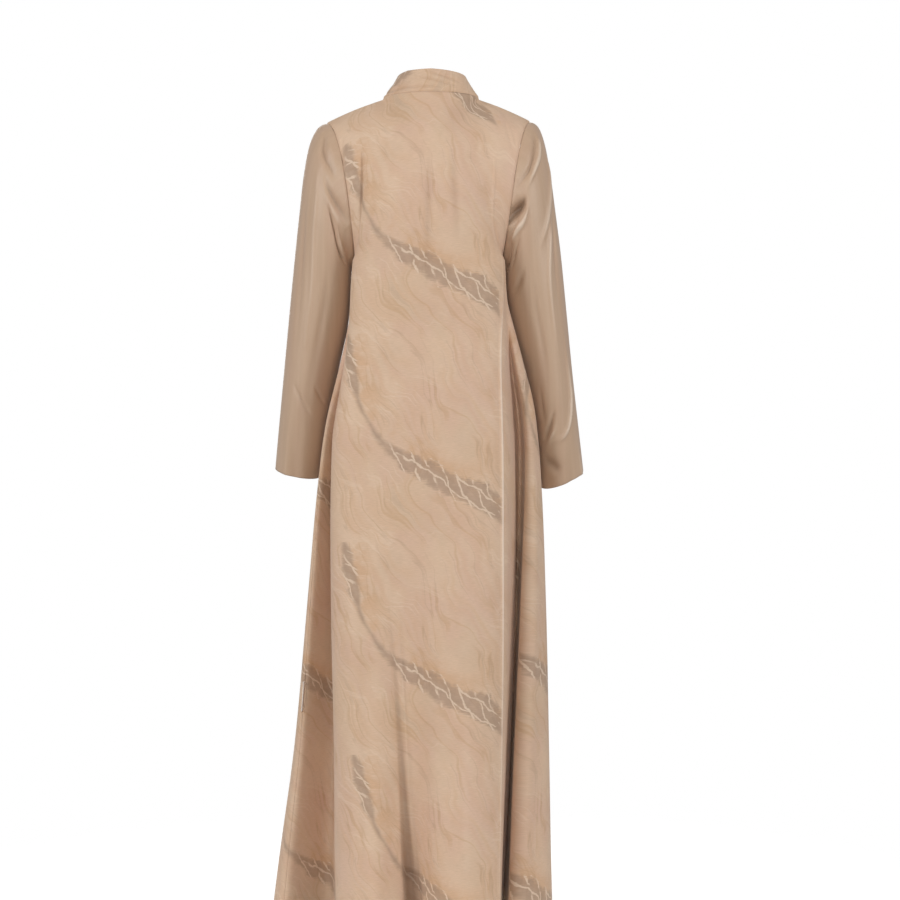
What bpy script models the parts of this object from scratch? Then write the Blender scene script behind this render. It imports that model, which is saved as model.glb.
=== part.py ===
"""Abaya cloak: an ankle-length, A-line, open-fronted cloak with set-in sleeves, a collar round the back of
the neck and a band down each front, as it hangs when it is worn.

Metres, +Z up. The wearer faces -Y and the wearer's left is +X. The origin is the middle of the neck base,
level with the neck ends of the shoulder seams, which is where the wearer's shoulders carry the cloak.
Every panel is a grid of points on the middle of its cloth, worked out from the tables below, and gets its
wall from one set of normals shared along the seams, so that sewn edges stay parallel.
"""

import bpy
import numpy as np

MM = 0.001

# ---- driving dimensions, metres ----
WALL = 0.002  # cloth thickness
SEAM_GAP = 0.0003  # between the edges of two sewn pieces
BEND = 0.0065  # how tightly the cloth bends round a crest or a valley
UNDERARM_Z = -0.305
HIP_Z = -0.617
HEM_Z = -1.473  # at the centre back
SIDE_DIP = 0.018  # how much lower the hem hangs at the sides
NECK_HALF_WIDTH = 0.090
NECK_BACK_Y = 0.060
NECK_BACK_Z = 0.006
SHOULDER_Y = -0.006
LEFT_SHOULDER = (0.196, SHOULDER_Y, -0.044)
RIGHT_SHOULDER = (-0.186, SHOULDER_Y, -0.041)
SHOULDER_RISE = 0.003  # how far the shoulder seam bows up between the neck and the sleeve
ARMHOLE_BACK = 0.076  # how far the armhole reaches behind and in front of the shoulder point
ARMHOLE_FRONT = 0.066
LEFT_HOLLOW = 0.014  # how far each armhole curves in towards the body
RIGHT_HOLLOW = 0.006
BAND_WIDTH = 0.045
LABEL_TOP_Z = -1.073
LABEL_LENGTH = 0.055
LABEL_DEPTH = 0.011
LABEL_TURN = 15  # degrees
LABEL_WALL = 0.0012

# How evenly the middle of the back and the front edge drop to the underarm row. At 0 they leave the neck
# level and steepen all the way, and at 1 they drop by the same height in each row.
BACK_STEEPNESS = 0.75
FRONT_STEEPNESS = 0.60

# How quickly the bows of the shoulder and neck seams die away downwards, and those of the underarm row
# upwards.
TOP_FADE = 3.2
BOTTOM_FADE = 1.3
YOKE_SOFTNESS = 0.022  # how widely the back and fronts are rounded above the underarm

# ---- grid counts ----
YOKE_ROWS = 10  # rows of the body from the shoulder seam to the underarm
SKIRT_ROWS = 18  # rows from the underarm to the hem
FOLD_STEPS = 3  # columns from one row of FOLDS to the next
CURVE_STEPS = 24  # points from one row of FOLDS to the next while a body row is being rounded
SLEEVE_ROWS = 16
BAND_COLUMNS = 3

# How far the body reaches at each height, in millimetres: from the middle line to the wearer's left and
# right, and from the shoulder line to the back and front.
SECTION_COLUMNS = ("z", "left", "right", "back", "front")
SECTIONS = (
    (-305, 142, 131, 119, 122),
    (-352, 147, 134, 120, 125),
    (-401, 152, 143, 121, 128),
    (-453, 161, 156, 122, 131),
    (-505, 172, 170, 125, 135),
    (-543, 181, 182, 128, 139),
    (-582, 190, 192, 132, 144),
    (-634, 199, 199, 137, 150),
    (-709, 208, 204, 144, 158),
    (-926, 228, 211, 166, 180),
    (-1203, 253, 214, 191, 208),
    (-1387, 277, 215, 206, 226),
    (-1473, 287, 216, 213, 233),
)

# The crests and valleys of the folds, from the front edge on the wearer's left, round the back, to the
# front edge on the right. Each place is a share, in percent, of the section's reach towards that side:
# left is +x, right is -x, back is +y and front is -y. A fold keeps its hip place down to start_z (mm).
FOLD_COLUMNS = ("top_x", "top_y", "hip_x", "hip_y", "hem_x", "hem_y", "start_z")
FOLDS = {
    "left_front_edge": (35, -98, 29, -100, 22, -99, -617),
    "left_front_crest": (58, -99, 53, -102, 42, -112, -617),
    "left_front_valley": (75, -92, 69, -87, 50, -70, -617),
    "left_side_front_crest": (87, -76, 85, -80, 66, -86, -617),
    "left_side_front_flank": (94, -62, 91, -64, 80, -78, -617),
    "left_side_front_valley": (94, -40, 90, -44, 74, -42, -617),
    "left_crest": (96, -16, 95, -18, 101, -10, -617),
    "left_seam": (97, 7, 99, 33, 94, 28, -617),
    "left_valley": (100, 44, 84, 4, 66, -2, -617),
    "left_panel_edge": (95, 80, 88, 84, 54, 86, -617),
    "left_panel_crest": (60, 97, 53, 100, 34, 104, -617),
    "middle_valley": (25, 100, 19, 103, 9, 76, -800),
    "centre_back": (0, 101, -2, 104, -6, 99, -800),
    "right_panel_middle": (-33, 100, -24, 103, -27, 106, -800),
    "right_panel_crest": (-66, 97, -48, 98, -43, 102, -617),
    "right_panel_edge": (-97, 80, -66, 86, -56, 85, -617),
    "right_valley": (-100, 56, -83, 12, -59, 14, -617),
    "right_lobe_back": (-101, 42, -90, 52, -74, 64, -617),
    "right_lobe_crest": (-101, 26, -99, 30, -97, 46, -617),
    "right_seam": (-97, 4, -97, 3, -101, 4, -617),
    "right_side_front_valley": (-95, -38, -89, -40, -71, -26, -617),
    "right_side_front_flank": (-95, -58, -90, -62, -92, -58, -617),
    "right_side_front_crest": (-89, -73, -82, -78, -84, -80, -617),
    "right_front_valley": (-77, -89, -67, -86, -56, -64, -617),
    "right_front_crest": (-58, -98, -52, -102, -50, -112, -617),
    "right_front_edge": (-38, -98, -29, -100, -26, -99, -617),
}
NAMES = list(FOLDS)
BODY_PIECES = ("back", "front_left", "front_right", "collar", "band_left", "band_right")

# The sleeves, from the armhole to the cuff, in millimetres. Each row is a slanting ring: its outermost
# point, its innermost point, its middle and half depth from front to back, and how far it drops at the
# back and lifts at the front.
SLEEVE_COLUMNS = ("out_x", "out_z", "in_x", "in_z", "mid_y", "half_depth", "back_drop")
LEFT_SLEEVE = (
    (196, -44, 138, -305, 0, 70, 0),
    (212, -57, 147, -317, 0, 71, 0),
    (226, -90, 148, -331, 0, 73, 0),
    (236, -145, 149, -352, -3, 75, 0),
    (243, -205, 151, -382, -9, 75, 0),
    (252, -285, 157, -428, -17, 74, 0),
    (263, -395, 174, -505, -21, 71, 1),
    (274, -510, 191, -586, -26, 66, 4),
    (284, -612, 202, -655, -33, 62, 7),
    (291, -684, 208, -700, -40, 59, 9),
)
RIGHT_SLEEVE = (
    (186, -41, 127, -305, 0, 70, 0),
    (200, -54, 135, -317, 0, 71, 0),
    (211, -86, 137, -334, 0, 73, 0),
    (221, -140, 140, -360, -4, 75, 0),
    (230, -205, 146, -396, -10, 75, 0),
    (241, -290, 159, -453, -15, 74, 0),
    (252, -400, 180, -530, -18, 71, 2),
    (263, -510, 195, -604, -23, 66, 5),
    (275, -612, 201, -668, -32, 62, 8),
    (284, -688, 206, -719, -40, 59, 11),
)

# The lean of the collar and bands from upright to flat on the body, in degrees, along their seam: the
# centre back, the neck end of the shoulder seam, half way down the neck edge, and the underarm row.
BAND_LEAN = (17, 40, 66, 90)

# Base colour, roughness and metallic value of each cloth.
PATTERNED_CLOTH = ("marbled_jacquard", (0.58, 0.41, 0.29, 1), 0.62, 0.0)
PLAIN_CLOTH = ("plain_satin_crepe", (0.47, 0.31, 0.22, 1), 0.48, 0.0)
LABEL_CLOTH = ("white_ribbon", (0.82, 0.76, 0.70, 1), 0.55, 0.0)


# ---- curves ----
def smooth_through(stations, values, at):
    """The values at `at` on a smooth curve that has `values` at `stations`, which rise."""
    stations = np.asarray(stations, float)
    values = np.asarray(values, float)
    steps = np.diff(stations)[:, None]
    slopes = np.diff(values, axis=0) / steps
    tangents = np.vstack([slopes[:1], slopes[:1], slopes[1:]])
    tangents[1:-1] = (slopes[:-1] * steps[1:] + slopes[1:] * steps[:-1]) / (steps[:-1] + steps[1:])
    piece = np.clip(np.searchsorted(stations, at, side="right") - 1, 0, len(steps) - 1)
    step = steps[piece]
    t = (np.asarray(at, float) - stations[piece])[:, None] / step
    return (
        (1 + 2 * t) * (1 - t) ** 2 * values[piece]
        + t * (1 - t) ** 2 * step * tangents[piece]
        + t * t * (3 - 2 * t) * values[piece + 1]
        + t * t * (t - 1) * step * tangents[piece + 1]
    )


def distances(points):
    """How far along a row of points each one lies."""
    lengths = np.linalg.norm(np.diff(points, axis=0), axis=1)
    return np.concatenate([[0], np.cumsum(lengths)])


def shares(points):
    along = distances(points)
    return along / along[-1]


def rounded(points, reach):
    """A row of points, each averaged with those up to about `reach` away, with its ends kept."""
    before = 2 * points[0] - points[:0:-1]
    after = 2 * points[-1] - points[-2::-1]
    longer = np.vstack([before, points, after])
    along = distances(longer)
    weights = np.exp(-0.5 * ((along[len(before) : -len(after), None] - along) / reach) ** 2)
    weights *= np.gradient(along)
    return weights @ longer / weights.sum(axis=1)[:, None]


# ---- the body below the underarm ----
def reach_at(z):
    """Left, right, back and front reach of the body at height z."""
    table = np.array(SECTIONS[::-1], float) * MM
    return smooth_through(table[:, 0], table[:, 1:], [z])[0]


def fold_places(z):
    """Where the crests and valleys of all the folds are at height z: one (x, y) for each row of FOLDS."""
    table = np.array(list(FOLDS.values()), float)
    top, hip, hem, start = table[:, 0:2], table[:, 2:4], table[:, 4:6], table[:, 6:7] * MM
    down = np.clip((UNDERARM_Z - z) / (UNDERARM_Z - HIP_Z), 0, 1)
    grown = np.clip((start - z) / (start - HEM_Z), 0, 1)
    share = (top + (hip - top) * down * down * (3 - 2 * down) + (hem - hip) * grown) / 100
    left, right, back, front = reach_at(z)
    x = share[:, 0] * np.where(share[:, 0] > 0, left, right)
    y = share[:, 1] * np.where(share[:, 1] > 0, back, front)
    return np.column_stack([x, y])


def body_row(z):
    """One level row of points round the body, FOLD_STEPS of them from each fold place to the next."""
    places = fold_places(z)
    stations = np.arange(len(places))
    chords = np.linalg.norm(np.diff(places, axis=0), axis=1)
    along = np.concatenate([[0], np.cumsum(np.sqrt(chords))])
    fine = np.arange((len(places) - 1) * CURVE_STEPS + 1) / CURVE_STEPS
    curve = rounded(smooth_through(along, places, np.interp(fine, stations, along)), BEND)
    flat = curve[:: CURVE_STEPS // FOLD_STEPS]
    return np.column_stack([flat, np.full(len(flat), z)])


def column_of(name):
    return NAMES.index(name) * FOLD_STEPS


# ---- the edges that the panels share ----
def shoulder_edge(shoulder, along):
    """Points on a shoulder seam, from the sleeve end (0) to the neck end (1)."""
    side = np.sign(shoulder[0])
    start = np.array(shoulder)
    end = np.array([side * NECK_HALF_WIDTH, 0.0, 0.0])
    points = start + np.outer(along, end - start)
    points[:, 2] += SHOULDER_RISE * np.sin(np.pi * along)
    return points


def neck_edge(side, along):
    """Points on half of the back neck seam, from the shoulder seam (0) to the centre back (1)."""
    turn = along * np.pi / 2
    x = side * NECK_HALF_WIDTH * np.cos(turn)
    y = NECK_BACK_Y * np.sin(turn) ** 1.2
    z = NECK_BACK_Z * np.sin(turn)
    return np.column_stack([x, y, z])


def armhole_edge(shoulder, underarm, hollow, reach, down):
    """Points on the back or front half of an armhole, from the shoulder (0) to the underarm (1)."""
    shoulder = np.array(shoulder)
    drop = (1 - np.cos(np.pi * down)) / 2
    x = shoulder[0] + (underarm[0] - shoulder[0]) * down
    x -= np.sign(shoulder[0]) * hollow * np.sin(np.pi * down)
    y = shoulder[1] + (underarm[1] - shoulder[1]) * drop + reach * np.sin(np.pi * down)
    z = shoulder[2] + (underarm[2] - shoulder[2]) * drop
    return np.column_stack([x, y, z])


def falling_edge(start, end, steepness, down):
    """Points from the neck edge down to the underarm row, moving outwards first and then falling."""
    out = np.sin(down * np.pi / 2)
    fall = (1 - np.cos(down * np.pi / 2)) * (1 - steepness) + down * steepness
    return start + np.column_stack([out, out, fall]) * (end - start)


# ---- panels ----
def yoke(top, bottom, armhole, middle):
    """Rows between four edges. Top and bottom run from the armhole to the middle. Each row spans from
    the armhole to the middle, where it comes in level, and takes on some of the bows of the top and the
    bottom, the more the nearer it is to them."""
    across = np.sin(np.linspace(0, np.pi / 2, len(top)))[:, None]
    t = np.linspace(0, 1, len(armhole))[:, None, None]
    spans = armhole[:, None] * (1 - across) + middle[:, None] * across
    return spans + (top - spans[0]) * (1 - t) ** TOP_FADE + (bottom - spans[-1]) * t**BOTTOM_FADE


def softened(rows, down):
    """The rows of a yoke with their bends rounded by YOKE_SOFTNESS, less so next to the top and the
    bottom row. The ends of each row stay where they are."""
    soft = rows.copy()
    for number in range(1, len(rows) - 1):
        reach = YOKE_SOFTNESS * (1 - (1 - down[number]) ** 8) * (1 - down[number] ** 6)
        soft[number, 1:-1] = rounded(rows[number], reach)[1:-1]
    return soft


def body_panels():
    """The back and the two fronts, each from its shoulder seam, in rows, to the hem."""
    down = np.linspace(0, 1, YOKE_ROWS + 1)
    underarm = body_row(UNDERARM_Z)
    skirt_z = np.linspace(UNDERARM_Z, HEM_Z, SKIRT_ROWS + 1)[1:]
    skirt = np.array([body_row(z) for z in skirt_z])
    hem_x = skirt[-1, :, 0]
    sideways = (hem_x / np.where(hem_x > 0, hem_x.max(), hem_x.min())) ** 4
    lowered = ((UNDERARM_Z - skirt_z) / (UNDERARM_Z - HEM_Z)) ** 2
    skirt[:, :, 2] -= SIDE_DIP * lowered[:, None] * sideways
    middle_column = column_of("centre_back")
    centre = falling_edge(neck_edge(1, np.ones(1))[0], underarm[middle_column], BACK_STEEPNESS, down)

    halves, fronts = [], []
    for side, shoulder, hollow, names in (
        (1, LEFT_SHOULDER, LEFT_HOLLOW, ("left_front_edge", "left_seam", "left_panel_crest")),
        (-1, RIGHT_SHOULDER, RIGHT_HOLLOW, ("right_front_edge", "right_seam", "right_panel_crest")),
    ):
        edge, seam, neck = (column_of(name) for name in names)
        point = underarm[seam]
        to_neck, to_centre = underarm[seam : neck : side], underarm[neck : middle_column : side]
        shoulder_seam = shoulder_edge(shoulder, shares(np.vstack([to_neck, underarm[neck]])))
        back_neck = neck_edge(side, shares(np.vstack([to_centre, underarm[middle_column]])))
        armhole = armhole_edge(shoulder, point, hollow, ARMHOLE_BACK, down)
        bottom = np.vstack([to_neck, to_centre, underarm[middle_column]])
        halves.append(yoke(np.vstack([shoulder_seam, back_neck[1:]]), bottom, armhole, centre))

        to_edge = np.vstack([underarm[seam : edge : -side], underarm[edge]])
        front_top = shoulder_edge(shoulder, shares(to_edge))
        armhole = armhole_edge(shoulder, point, hollow, -ARMHOLE_FRONT, down)
        front_edge = falling_edge(front_top[-1], underarm[edge], FRONT_STEEPNESS, down)
        fronts.append(softened(yoke(front_top, to_edge, armhole, front_edge), down))

    left_seam, right_seam = column_of("left_seam"), column_of("right_seam")
    back = softened(np.concatenate([halves[0], halves[1][:, -2::-1]], axis=1), down)
    left, right = fronts[0][:, ::-1], fronts[1]
    return {
        "back": np.concatenate([back, skirt[:, left_seam : right_seam + 1]]),
        "front_left": np.concatenate([left, skirt[:, : left_seam + 1]]),
        "front_right": np.concatenate([right, skirt[:, right_seam:]]),
    }


def sleeve_panel(table, side, armhole):
    """Rings from the armhole to the cuff. Each starts at the outermost line and goes round by the back."""
    table = np.array(table, float) * MM
    table[:, (0, 2)] *= side
    rings = len(table) - 1
    at = np.linspace(0, rings, SLEEVE_ROWS + 1)
    columns = smooth_through(np.arange(rings + 1), table, at).T[:, :, None]
    out_x, out_z, in_x, in_z, mid_y, half_depth, back_drop = columns
    turn = np.arange(2 * YOKE_ROWS) * np.pi / YOKE_ROWS
    out, back = (1 + np.cos(turn)) / 2, np.sin(turn)
    x = in_x + (out_x - in_x) * out
    y = mid_y + half_depth * back
    z = in_z + (out_z - in_z) * out - back_drop * back
    points = np.stack([x, y, z], axis=-1)
    fade = np.clip(1 - at / 4, 0, 1)[:, None, None] ** 2
    return points + (armhole - points[0]) * fade


def across_band(seam, side, back_count, neck_count):
    """Directions from the seam of the collar and band towards their free edge, square to the seam."""
    stations = (0, back_count, back_count + neck_count / 2, back_count + neck_count)
    number = np.arange(len(seam))
    lean = np.radians(np.interp(number, stations, BAND_LEAN))[:, None]
    inward = np.column_stack([-seam[:, 0], -seam[:, 1], np.zeros(len(seam))])
    inward = unit(inward)
    turned = np.clip((number - back_count) / (0.4 * neck_count), 0, 1)[:, None]
    inward = inward * (1 - turned) + np.array([-side, 0, 0]) * turned
    across = np.cos(lean) * np.array([0, 0, 1]) + np.sin(lean) * inward
    along = np.gradient(seam, axis=0)
    along[0] = (side, 0, 0)
    along = unit(along)
    across -= along * (across * along).sum(axis=1)[:, None]
    return unit(across)


def collar_and_band(back_neck, front_edge, side):
    """Half of the collar, from the centre back to the shoulder seam, and the band from there to the hem."""
    seam = np.vstack([back_neck, front_edge[1:]])
    neck_corner = len(back_neck) - 1
    across = across_band(seam, side, neck_corner, YOKE_ROWS)
    widths = np.arange(BAND_COLUMNS + 1) / BAND_COLUMNS * BAND_WIDTH
    grid = seam[:, None, :] + across[:, None, :] * widths[None, :, None]
    return grid[: neck_corner + 1], grid[neck_corner:]


# ---- walls ----
def facing(grid, flip):
    """Normals of a grid, each as long as the area round its point, summed from the faces that meet there."""
    across, along = np.diff(grid, axis=1), np.diff(grid, axis=0)
    corner = np.cross((along[:, :-1] + along[:, 1:]) / 2, (across[:-1] + across[1:]) / 2)
    total = np.zeros_like(grid)
    for rows in (slice(None, -1), slice(1, None)):
        for columns in (slice(None, -1), slice(1, None)):
            total[rows, columns] += corner
    return -total if flip else total


def keys_of(points):
    """A key for each point, the same for points that lie within a thousandth of a millimetre."""
    return [tuple(key) for key in np.round(points.reshape(-1, 3) / 1e-6).astype(int)]


def unit(vectors):
    return vectors / np.linalg.norm(vectors, axis=-1, keepdims=True)


def shared_normals(panels, flips, seams):
    """Unit normals for every panel. Points that panels share along a seam get the same one. Where a
    sleeve meets the body it lies half way between the normals of the two, so that their walls part along
    it. Seams is a list of (points, normal) for the seams whose normal is given."""
    keys = {name: keys_of(grid) for name, grid in panels.items()}
    total = {}
    for group in (BODY_PIECES, ("sleeve_left",), ("sleeve_right",)):
        sums = {}
        for name in group:
            for key, normal in zip(keys[name], facing(panels[name], flips[name]).reshape(-1, 3)):
                sums[key] = sums.get(key, 0) + normal
        for key, normal in sums.items():
            total[key] = total.get(key, 0) + unit(normal)
    for points, normal in seams:
        total.update({key: np.array(normal, float) for key in keys_of(points)})
    return {
        name: unit(np.array([total[key] for key in keys[name]])).reshape(grid.shape)
        for name, grid in panels.items()
    }


def edges_drawn_in(layer, normals, is_tube):
    """The layer with its edges moved in by half a seam gap, square to the wall, so that sewn pieces
    don't touch."""
    drawn = layer.copy()
    lines = [(0, 1), (-1, -2)]
    if not is_tube:
        lines += [((slice(None), edge), (slice(None), inner)) for edge, inner in lines]
    for edge, inner in lines:
        step = layer[inner] - layer[edge]
        step -= normals[edge] * (step * normals[edge]).sum(axis=-1, keepdims=True)
        drawn[edge] += unit(step) * SEAM_GAP / 2
    return drawn


def quads(a, b, c, d):
    return np.stack([a, b, c, d], axis=-1).reshape(-1, 4)


def wall_object(name, middle, normals, cloth, collection, flip=False, is_tube=False, wall=WALL):
    """A closed wall of cloth on both sides of a grid: two layers, joined round the rims."""
    outer = edges_drawn_in(middle + normals * wall / 2, normals, is_tube)
    inner = edges_drawn_in(middle - normals * wall / 2, normals, is_tube)
    rows, columns = middle.shape[:2]
    top = np.arange(rows * columns).reshape(rows, columns)
    if is_tube:
        top = np.hstack([top, top[:, :1]])
    under = top + rows * columns
    faces = [
        quads(top[:-1, :-1], top[1:, :-1], top[1:, 1:], top[:-1, 1:]),
        quads(under[:-1, :-1], under[:-1, 1:], under[1:, 1:], under[1:, :-1]),
        quads(top[0, :-1], top[0, 1:], under[0, 1:], under[0, :-1]),
        quads(top[-1, :-1], under[-1, :-1], under[-1, 1:], top[-1, 1:]),
    ]
    if not is_tube:
        faces += [
            quads(top[:-1, 0], under[:-1, 0], under[1:, 0], top[1:, 0]),
            quads(top[:-1, -1], top[1:, -1], under[1:, -1], under[:-1, -1]),
        ]
    faces = np.vstack(faces)
    if flip:
        faces = faces[:, ::-1]
    mesh = bpy.data.meshes.new(name)
    points = np.vstack([outer.reshape(-1, 3), inner.reshape(-1, 3)])
    mesh.from_pydata(points.tolist(), [], faces.tolist())
    mesh.shade_smooth()
    mesh.materials.append(cloth)
    piece = bpy.data.objects.new(name, mesh)
    collection.objects.link(piece)
    return piece


def cloth_material(name, colour, roughness, metallic):
    material = bpy.data.materials.new(name)
    material.use_nodes = True
    shader = material.node_tree.nodes["Principled BSDF"]
    shader.inputs["Base Color"].default_value = colour
    shader.inputs["Roughness"].default_value = roughness
    shader.inputs["Metallic"].default_value = metallic
    return material


def label_tab(seam, normals):
    """A folded ribbon sewn into the side seam: its root just outside the cloth, its tip LABEL_DEPTH out,
    turned from square to the cloth by LABEL_TURN towards the back."""
    heights = np.linspace(LABEL_TOP_Z, LABEL_TOP_Z - LABEL_LENGTH, 5)
    order = np.argsort(seam[:, 2])
    root = smooth_through(seam[order, 2], seam[order], heights)
    out = smooth_through(seam[order, 2], normals[order], heights).mean(axis=0)
    turn = np.arctan2(out[1], out[0]) + np.radians(LABEL_TURN)
    out = np.array([np.cos(turn), np.sin(turn), 0])
    clear = WALL / 2 + SEAM_GAP * 1.5
    tab = np.stack([root + out * clear, root + out * (clear + LABEL_DEPTH)], axis=1)
    return tab, np.broadcast_to(np.cross([0, 0, -1], out), tab.shape)


def build():
    for leftover in list(bpy.data.objects):
        bpy.data.objects.remove(leftover)
    collection = bpy.data.collections.new("abaya_cloak")
    bpy.context.scene.collection.children.link(collection)
    patterned = cloth_material(*PATTERNED_CLOTH)
    plain = cloth_material(*PLAIN_CLOTH)
    ribbon = cloth_material(*LABEL_CLOTH)

    panels = body_panels()
    back, left, right = panels["back"], panels["front_left"], panels["front_right"]
    rows = slice(0, YOKE_ROWS + 1)
    for name, table, side, back_half, front_half in (
        ("sleeve_left", LEFT_SLEEVE, 1, back[rows, 0], left[rows, -1]),
        ("sleeve_right", RIGHT_SLEEVE, -1, back[rows, -1], right[rows, 0]),
    ):
        armhole = np.vstack([back_half, front_half[-2:0:-1]])
        panels[name] = sleeve_panel(table, side, armhole)
    neck_start, neck_middle, neck_end = (
        column_of(name) - column_of("left_seam")
        for name in ("left_panel_crest", "centre_back", "right_panel_crest")
    )
    left_neck, right_neck = back[0, neck_start : neck_middle + 1][::-1], back[0, neck_middle : neck_end + 1]
    left_collar, panels["band_left"] = collar_and_band(left_neck, left[:, 0], 1)
    right_collar, panels["band_right"] = collar_and_band(right_neck, right[:, -1], -1)
    panels["collar"] = np.concatenate([left_collar[::-1], right_collar[1:]])

    flips = {name: name in ("sleeve_right", "band_left") for name in panels}
    tubes = {name: name.startswith("sleeve") for name in panels}
    closed = {
        name: np.concatenate([grid, grid[:, :1]], axis=1) if tubes[name] else grid
        for name, grid in panels.items()
    }
    shoulder_seams = []
    for shoulder, edges in (
        (LEFT_SHOULDER, (back[0, : neck_start + 1], left[0])),
        (RIGHT_SHOULDER, (back[0, neck_end:], right[0])),
    ):
        slope = (-shoulder[2], 0, abs(shoulder[0]) - NECK_HALF_WIDTH)
        normal = (slope[0] * np.sign(shoulder[0]), 0, slope[2])
        shoulder_seams += [(edge, normal) for edge in edges]
    normals = shared_normals(closed, flips, shoulder_seams)
    for name, grid in panels.items():
        cloth = plain if tubes[name] else patterned
        own = normals[name][:, : grid.shape[1]]
        wall_object(name, grid, own, cloth, collection, flips[name], tubes[name])

    tab, tab_normals = label_tab(back[YOKE_ROWS:, 0], normals["back"][YOKE_ROWS:, 0])
    wall_object("side_label", tab, tab_normals, ribbon, collection, wall=LABEL_WALL)


build()
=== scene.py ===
import bpy
import numpy as np
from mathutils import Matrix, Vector


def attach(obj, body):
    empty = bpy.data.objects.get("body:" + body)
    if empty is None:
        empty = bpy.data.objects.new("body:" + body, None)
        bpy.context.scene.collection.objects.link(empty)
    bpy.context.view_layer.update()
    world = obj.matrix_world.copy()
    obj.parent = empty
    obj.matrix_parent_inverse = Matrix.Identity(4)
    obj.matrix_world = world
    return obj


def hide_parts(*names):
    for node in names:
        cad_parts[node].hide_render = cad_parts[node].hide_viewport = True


# An abaya cloak as it hangs when it is worn: back, two fronts, two sleeves, collar, two front bands, label.
# Metres, +Z up. The wearer faces -Y and their left is +X. The origin is the middle of the neck base.
# Left and right are the wearer's own, as they also appear from behind.

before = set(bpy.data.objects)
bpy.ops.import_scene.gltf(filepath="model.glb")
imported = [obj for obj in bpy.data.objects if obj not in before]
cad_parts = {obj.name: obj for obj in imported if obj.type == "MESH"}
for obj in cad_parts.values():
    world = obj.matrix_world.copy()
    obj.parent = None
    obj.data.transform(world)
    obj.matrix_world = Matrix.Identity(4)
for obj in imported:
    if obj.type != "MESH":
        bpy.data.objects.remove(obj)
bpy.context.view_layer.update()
print("frame:", ", ".join(sorted(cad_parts)))

body = {
    "underarmZ": -0.305,
    "hipZ": -0.617,
    "hemZ": -1.473,
    "sideDip": 0.018,  # how much lower the hem hangs at the sides
    "valleyDip": 0.006,  # and, besides that, in the left valley
    "valleyWidth": 0.9,  # of this lower stretch, in folds
    "bend": 0.0065,  # how tightly the cloth bends round a crest or a valley
    "backSteepness": 0.75,  # how evenly the middle of the back and the front edges drop to the underarm
    "frontSteepness": 0.60,
    "topFade": 3.2,  # how quickly the bows of the shoulder and neck seams die away downwards
    "bottomFade": 1.3,  # and those of the underarm row upwards
    "yokeSoftness": 0.022,  # how widely the cloth is rounded between the shoulder seams and the underarm
    "yokeKept": (8, 6),  # how closely that rounding stops at the shoulder seams and at the underarm
    "stepsPerFold": 14,
    "besideSeams": (-0.036, -0.016, 0.016, 0.036),  # more columns either side of a sewn edge, in folds
    "fineFolds": ((10.45, 11.15), (14.6, 15.35)),  # where sharp creases run down, and the columns are closer
    "fineSteps": 48,
    "curveSteps": 24,
    "firstRows": (0, 0.005, 0.011),  # shares of the way from the shoulder seam to the underarm
    "yokeRows": 80,
    "skirtStep": 0.0105,
    "skirtEnd": 0.010,  # where the even rows stop, above the hem's stitching
    "hemRows": (8, 5, 3, 1.5, 0.6, -0.6, -1.5, -3, -6, -10, -14, -18, -22, -25),  # mm above the stitching
    "hemDepth": 0.025,
    "thickness": 0.0012,
    "seamGap": 0.0003,
    "grooveDepth": 0.0011,
    "grooveWidth": 0.0026,
    "armholeDepth": 2.0,  # how many times deeper the seams above the underarm are
}

neck = {"halfWidth": 0.090, "backY": 0.060, "backZ": 0.006, "roundness": 1.2}
shoulders = {
    1: {"point": (0.196, -0.006, -0.044), "hollow": 0.014},
    -1: {"point": (-0.186, -0.006, -0.041), "hollow": 0.006},
    "rise": 0.003,
    "armholeBack": 0.076,
    "armholeFront": 0.066,
}
band = {
    "width": 0.045,
    "columns": 26,
    "edgeColumns": (0.8, 1.6),  # more columns near both edges, in millimetres from them
    "leanAt": (0, 1, 1.5, 2),  # centre back, shoulder, half way down the yoke, underarm
    "lean": (17, 40, 66, 90),
    "turnsIn": 0.4,  # the share of the yoke in which it turns from facing the neck to facing sideways
    "thickness": 0.0018,
}

# How far the body reaches at each height, in millimetres: z, left, right, back, front
sections = (
    (-305, 142, 131, 119, 122),
    (-352, 147, 134, 120, 125),
    (-401, 152, 143, 121, 128),
    (-453, 161, 156, 122, 131),
    (-505, 172, 170, 125, 135),
    (-543, 181, 182, 128, 139),
    (-582, 190, 192, 132, 144),
    (-634, 199, 199, 137, 150),
    (-709, 208, 204, 144, 158),
    (-926, 228, 211, 166, 180),
    (-1203, 253, 214, 191, 208),
    (-1387, 277, 215, 206, 226),
    (-1473, 287, 216, 213, 233),
)

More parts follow.
